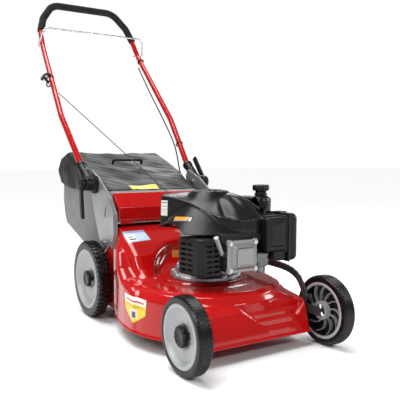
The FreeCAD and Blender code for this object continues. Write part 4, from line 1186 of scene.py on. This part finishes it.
def make_tank():
    """Fuel tank with its tall neck, a domed shoulder and a fluted cap."""
    def field(p):
        x, y, z = p
        tank = polygon(x, y, [(143, -96), (190, -84), (192, 40), (142, 48)], 10)
        tank = meet(tank, np.abs(z - 368) - 46, 9)
        r = np.hypot(x - 158, y + 70)
        shoulder = polygon(r, z, [(-20, 380), (29, 380), (29, 404), (25, 414), (18, 420), (17, 434.8),
                                  (-20, 434.8)], 1.5)
        seam = polygon(x, y, [(140, -99), (193, -87), (195, 43), (139, 51)], 10)
        seam = np.maximum(seam, np.abs(z - 366) - 2)
        ring = np.maximum(np.abs(r - 18) - 2.5, np.abs(z - 424) - 1.5)
        return join(join(join(tank, shoulder, 6), seam, 1.5), ring, 1)

    tank = net("fuel_tank_moulding", field, (134, -106, 316), (200, 58, 438), grid_step(1.8))
    finish(tank, BLACK_PLASTIC, "chassis", "fuel_tank")

    def flutes(angle, a, r):
        if r < 21 or a < 437:
            return r
        return r * (1 - 0.09 * (0.5 + 0.5 * math.cos(angle * 8)) ** 3)

    outline = [(435.4, 3), (435.4, 23.5), (436, 24.5), (437.4, 25), (438, 25.8), (450, 26), (452.2, 24.5),
               (453.2, 21.5), (453.3, 14), (451.8, 12.5), (451.8, 0.5)]
    cap = turned("fuel_cap_fluted", outline, 2, (158, -70, 0), 160, flutes, closed=False)
    finish(sharpen(cap, 40), BLACK_PLASTIC, "fuel_cap", "fuel_cap")


def make_carburettor():
    def field(p):
        x, y, z = p
        body = plate(p, (54, -190, 226), (94, -156, 266), 4)
        bowl = cylinder(p, 2, (76, -174), 15, 208, 230, 3)
        drain = cylinder(p, 2, (76, -174), 4, 203, 212, 1)
        ears = np.minimum(cylinder(p, 1, (60, 232), 5, -192, -186, 1),
                          cylinder(p, 1, (88, 260), 5, -192, -186, 1))
        throat = cylinder(p, 0, (-172, 246), 12, 88, 102, 2)
        return join(join(join(join(body, bowl, 3), drain, 2), ears, 1), throat, 2)

    carb = net("carburettor_casting", field, (48, -196, 200), (106, -150, 272), grid_step(1.3))
    finish(carb, CARB_ALLOY, "chassis", "carburettor")


# ---------------------------------------------------------------- bag
BAG_SIDE = [(258, 330), (258, 370), (296, 412), (500, 487), (700, 560), (782, 538), (808, 482), (750, 306),
            (730, 276), (500, 211), (420, 188), (330, 246)]


def bag_half(y):
    """Half the bag's width along its length: narrow at the mouth, full at the back."""
    return 180 + 19 * soft_step((y - 400) / 120) - 8 * soft_step((y - 770) / 60)


BODY_BACK = [(690, 545), (745, 522), (772, 470), (764, 420), (770, 370), (752, 306)]
BODY_SIDE = BAG_SIDE[:4] + BODY_BACK + BAG_SIDE[8:]


def bag_field(p, side_outline=BODY_SIDE):
    x, y, z = p
    outline = polygon(y, z, side_outline, 14)
    side = np.abs(x) - bag_half(y)
    middle = soft_step((-outline) / 80)
    fold = (2.6 * np.sin(y / 31 + z / 47) + 1.9 * np.sin(y / 17 - z / 23 + 1.3)
            + 1.4 * np.sin(z / 13 + y / 61 + 0.4) * np.sin(y / 43))
    side = side + 2.0 - fold * 0.55 * middle - 3.0 * np.sin(np.clip((y - 260) / 530, 0, 1) * math.pi) + 2.0
    across = np.clip(1 - (x / 185) ** 2, 0, 1)
    sag = 9 * across * np.sin(np.clip((y - 300) / 480, 0, 1) * math.pi)
    crease = (1.6 * np.sin(x / 19 + y / 37) + 1.3 * np.sin(x / 41 - y / 23 + 2)
              + 1.0 * np.sin(y / 11 + x / 90))
    top = outline + np.where(z > 380, sag + crease * across, -3.5 * across)
    return meet(top + 1.0, side, 20)


HEM_Y, HEM_RISE = [284, 500, 639, 740, 783, 812], [8, 4, 0, 24, 62, 70]


def hood_edge(y):
    """Height of the hood's lower hem round the bag's sides."""
    return 420 + np.interp(y, HEM_Y, HEM_RISE) - 2.0 * np.sin(y / 27)


def make_bag():
    def mouth(middle):
        _, y, z = middle
        return (y < 300) & (z < 372) & (y < 262 + (370 - z) * 0.9)

    body = net("bag_body", bag_field, (-212, 248, 180), (212, 820, 566), grid_step(3.6), 1.6, mouth)
    finish(body, SIDE_CLOTH, "bag", "grass_bag")

    def hood_field(p):
        flare = 9 * soft_step((p[1] - 560) / 120) * soft_step((540 - p[2]) / 60)
        return bag_field(p, BAG_SIDE) - 2.6 - flare + 0.35 * np.sin(p[1] / 6.1 + p[0] / 9.3)

    def below_hem(middle):
        _, y, z = middle
        return (z < hood_edge(y)) | mouth(middle) | (y < 272)

    hood = net("bag_hood", hood_field, (-216, 244, 360), (216, 826, 570), grid_step(3.2), 1.6, below_hem)
    finish(hood, HOOD_CLOTH, "bag")
    return body, hood


# ---------------------------------------------------------------- brackets, guide and small pieces
LINK_POINTS = [(-225, 130), (-212, 158), (-194, 184), (-150, 203), (-60, 207), (190, 207), (330, 200),
               (415, 158)]


def make_height_link():
    """The flat strap between the cranks, with a rolled edge along each side."""
    line = [(p.y, p.z) for p in resample(cord_line("strap", [(0, y, z) for y, z in LINK_POINTS]), 36)]

    def field(p):
        x, y, z = p
        gap = 1e3
        for (ay, az), (by, bz) in zip(line, line[1:]):
            way = np.array([by - ay, bz - az], float)
            t = np.clip(((y - ay) * way[0] + (z - az) * way[1]) / (way @ way), 0, 1)
            gap = join(gap, np.hypot(y - ay - t * way[0], z - az - t * way[1]), 5)
        body = meet(gap - 9.5, np.abs(x - 205.1) - 2.1, 1)
        edge = np.hypot(np.maximum(np.abs(gap - 8.6) - 0.5, 0), x - 206.8) - 1.3
        body = join(body, edge, 0.8)
        for py, pz in (LINK_POINTS[0], LINK_POINTS[-1]):
            body = meet(body, 3.7 - np.hypot(y - py, z - pz), 0.4)
        return body

    strap = net("height_strap", field, (199, -238, 118), (212, 428, 222), grid_step(1.7))
    finish(strap, STRAP_STEEL, "height_link", "height_link")


def make_small_parts():
    starter = [(-249, 838, 855), (-250, 808, 865), (-250, 766, 866), (-249.5, 736, 857)]

    def fat_ends(t):
        return 0.82 + 0.3 * abs(2 * t - 1) ** 2.5

    grip_bar = tube("grip_bar", resample(rounded_path(starter, [40, 40]), 60), 6.5, 24, swell=fat_ends)
    stem = tube("grip_stem", resample([Vector((-249, 815, 862)), Vector((-232, 813, 837))], 12), 4, 20,
                swell=lambda t: 1.5 - 0.5 * t)
    grip = merge("starter_t_grip", [grip_bar, stem])
    finish(grip, BLACK_PLASTIC, "starter_grip", "starter_grip")


CAD_MATERIALS = {
    "axle_bushes": BLACK_PLASTIC, "handle_bracket_right": GREY_STEEL, "handle_bracket_left": GREY_STEEL,
    "flap_rod": ZINC, "bolts": ZINC, "muffler": DARK_STEEL, "air_filter_element": PAPER,
    "spark_plug_boot": COVER_ALLOY, "wire_connector": ORANGE, "crankshaft": ZINC, "flywheel": ALLOY,
    "blade_hub": DARK_STEEL, "blade": DARK_STEEL, "blade_bolt": ZINC, "starter_pulley": BLACK_PLASTIC,
    "oil_cap": BLACK_PLASTIC, "brake_arm": ZINC, "bag_frame": DARK_STEEL, "bag_handle": BLACK_PLASTIC,
    "front_axle": DARK_STEEL, "rear_axle": DARK_STEEL, "height_lever": DARK_STEEL,
    "rope_guide": BLACK_PLASTIC, "cable_clips": BLACK_PLASTIC,
}


def paint_cad_nodes():
    for node, material in CAD_MATERIALS.items():
        thing = NODES[node]
        thing.data.materials.clear()
        thing.data.materials.append(material)


# ---------------------------------------------------------------- labels
def make_labels(deck, cowl, hood):
    ink, white = (0.05, 0.05, 0.05), (0.78, 0.78, 0.76)
    bag_print = banded("bag_label_print", (0.80, 0.66, 0.04), 0.4, [
        ((0.322, 0.334), (0.04, 0.96), ink), ((0.655, 0.667), (0.04, 0.96), ink),
        ((0.06, 0.28), (0.1, 0.16), ink), ((0.39, 0.61), (0.1, 0.16), ink),
        ((0.72, 0.94), (0.1, 0.16), ink),
        ((0.13, 0.19), (0.3, 0.8), (0.35, 0.28, 0.03)), ((0.46, 0.54), (0.3, 0.62), (0.35, 0.28, 0.03)),
        ((0.8, 0.84), (0.34, 0.8), (0.35, 0.28, 0.03)), ((0.84, 0.92), (0.34, 0.42), ink)])
    patch("bag_label", [(-93, 311, 417), (13, 314, 419), (24, 375, 441), (-84, 376, 441)], hood,
          (0, -0.35, 1), bag_print, "bag", (22, 12), 0.5)
    deck_print = banded("deck_label_print", (0.55, 0.64, 0.78), 0.3, [
        ((0.0, 1.0), (0.8, 1.0), (0.28, 0.36, 0.55)), ((0.04, 0.46), (0.08, 0.74), white),
        ((0.52, 0.96), (0.08, 0.74), (0.52, 0.66, 0.88)), ((0.1, 0.4), (0.2, 0.3), ink),
        ((0.1, 0.3), (0.42, 0.48), ink), ((0.58, 0.9), (0.5, 0.55), white),
        ((0.58, 0.8), (0.3, 0.35), white)])
    patch("deck_label", [(-184, 155, 270), (-105, 160, 273), (-108, 211, 300), (-184, 209, 299)], deck,
          (0, -0.45, 0.9), deck_print, "chassis", (18, 14), 0.4)
    side_print = banded("side_label_print", (0.82, 0.60, 0.04), 0.3, [
        ((0.0, 1.0), (0.72, 1.0), white), ((0.1, 0.9), (0.8, 0.86), (0.55, 0.04, 0.03)),
        ((0.1, 0.9), (0.62, 0.66), (0.4, 0.3, 0.03)), ((0.36, 0.64), (0.18, 0.52), white),
        ((0.44, 0.6), (0.2, 0.44), (0.1, 0.1, 0.12))])

    def pentagon(u, v):
        return v > 0.42 or abs(u - 0.5) < 0.5 * v / 0.42 + 0.02

    patch("side_label", [(-242, 38, 70), (-239, -64, 66), (-233, -60, 140), (-231, 48, 142)], deck,
          (-1, 0, 0.1), side_print, "chassis", (40, 40), 0.4, pentagon)
    strip = banded("strip_label_print", (0.80, 0.32, 0.03), 0.3, [
        ((0.0, 1.0), (0.0, 0.38), (0.025, 0.025, 0.027)), ((0.02, 0.8), (0.2, 0.3), (0.5, 0.5, 0.5)),
        ((0.84, 1.0), (0.38, 1.0), (0.025, 0.025, 0.027)), ((0.87, 0.97), (0.15, 0.85), (0.7, 0.7, 0.7))])
    outward = (-0.93, -0.36, 0.05)
    patch("strip_label", [(-98.5, -17, 350), (-76, -78, 353), (-76, -78, 367), (-98.5, -17, 364)], cowl,
          outward, strip, "chassis", (20, 6), 0.3)
    tag = banded("tag_label_print", (0.72, 0.73, 0.70), 0.35, [
        ((0.1, 0.9), (0.84, 0.9), ink), ((0.15, 0.85), (0.6, 0.66), (0.3, 0.3, 0.3)),
        ((0.15, 0.85), (0.4, 0.44), (0.3, 0.3, 0.3)), ((0.15, 0.6), (0.22, 0.26), (0.3, 0.3, 0.3))])
    patch("tag_label", [(-125, 58, 362), (-116, 31, 362), (-114, 33, 408), (-125, 58, 408)], cowl, outward,
          tag, "chassis", (6, 12), 0.3)


# ---------------------------------------------------------------- the whole scene
make_stage()
make_light_and_camera()
make_cords()
deck_shell = make_deck()
make_flap()
for side_name in SIDES:
    for end_name, sizes in WHEELS.items():
        make_wheel(end_name, side_name, *sizes)
    make_knuckle(side_name)
make_cam_lever("right", -96)
make_cam_lever("left", 50)
make_handle()
cowl_shell = make_cowl()
make_base()
make_block()
make_valve_cover()
make_guard()
make_filter()
make_tank()
make_carburettor()
bag_body, bag_hood = make_bag()
make_height_link()
make_small_parts()
paint_cad_nodes()
make_labels(deck_shell, cowl_shell, bag_hood)
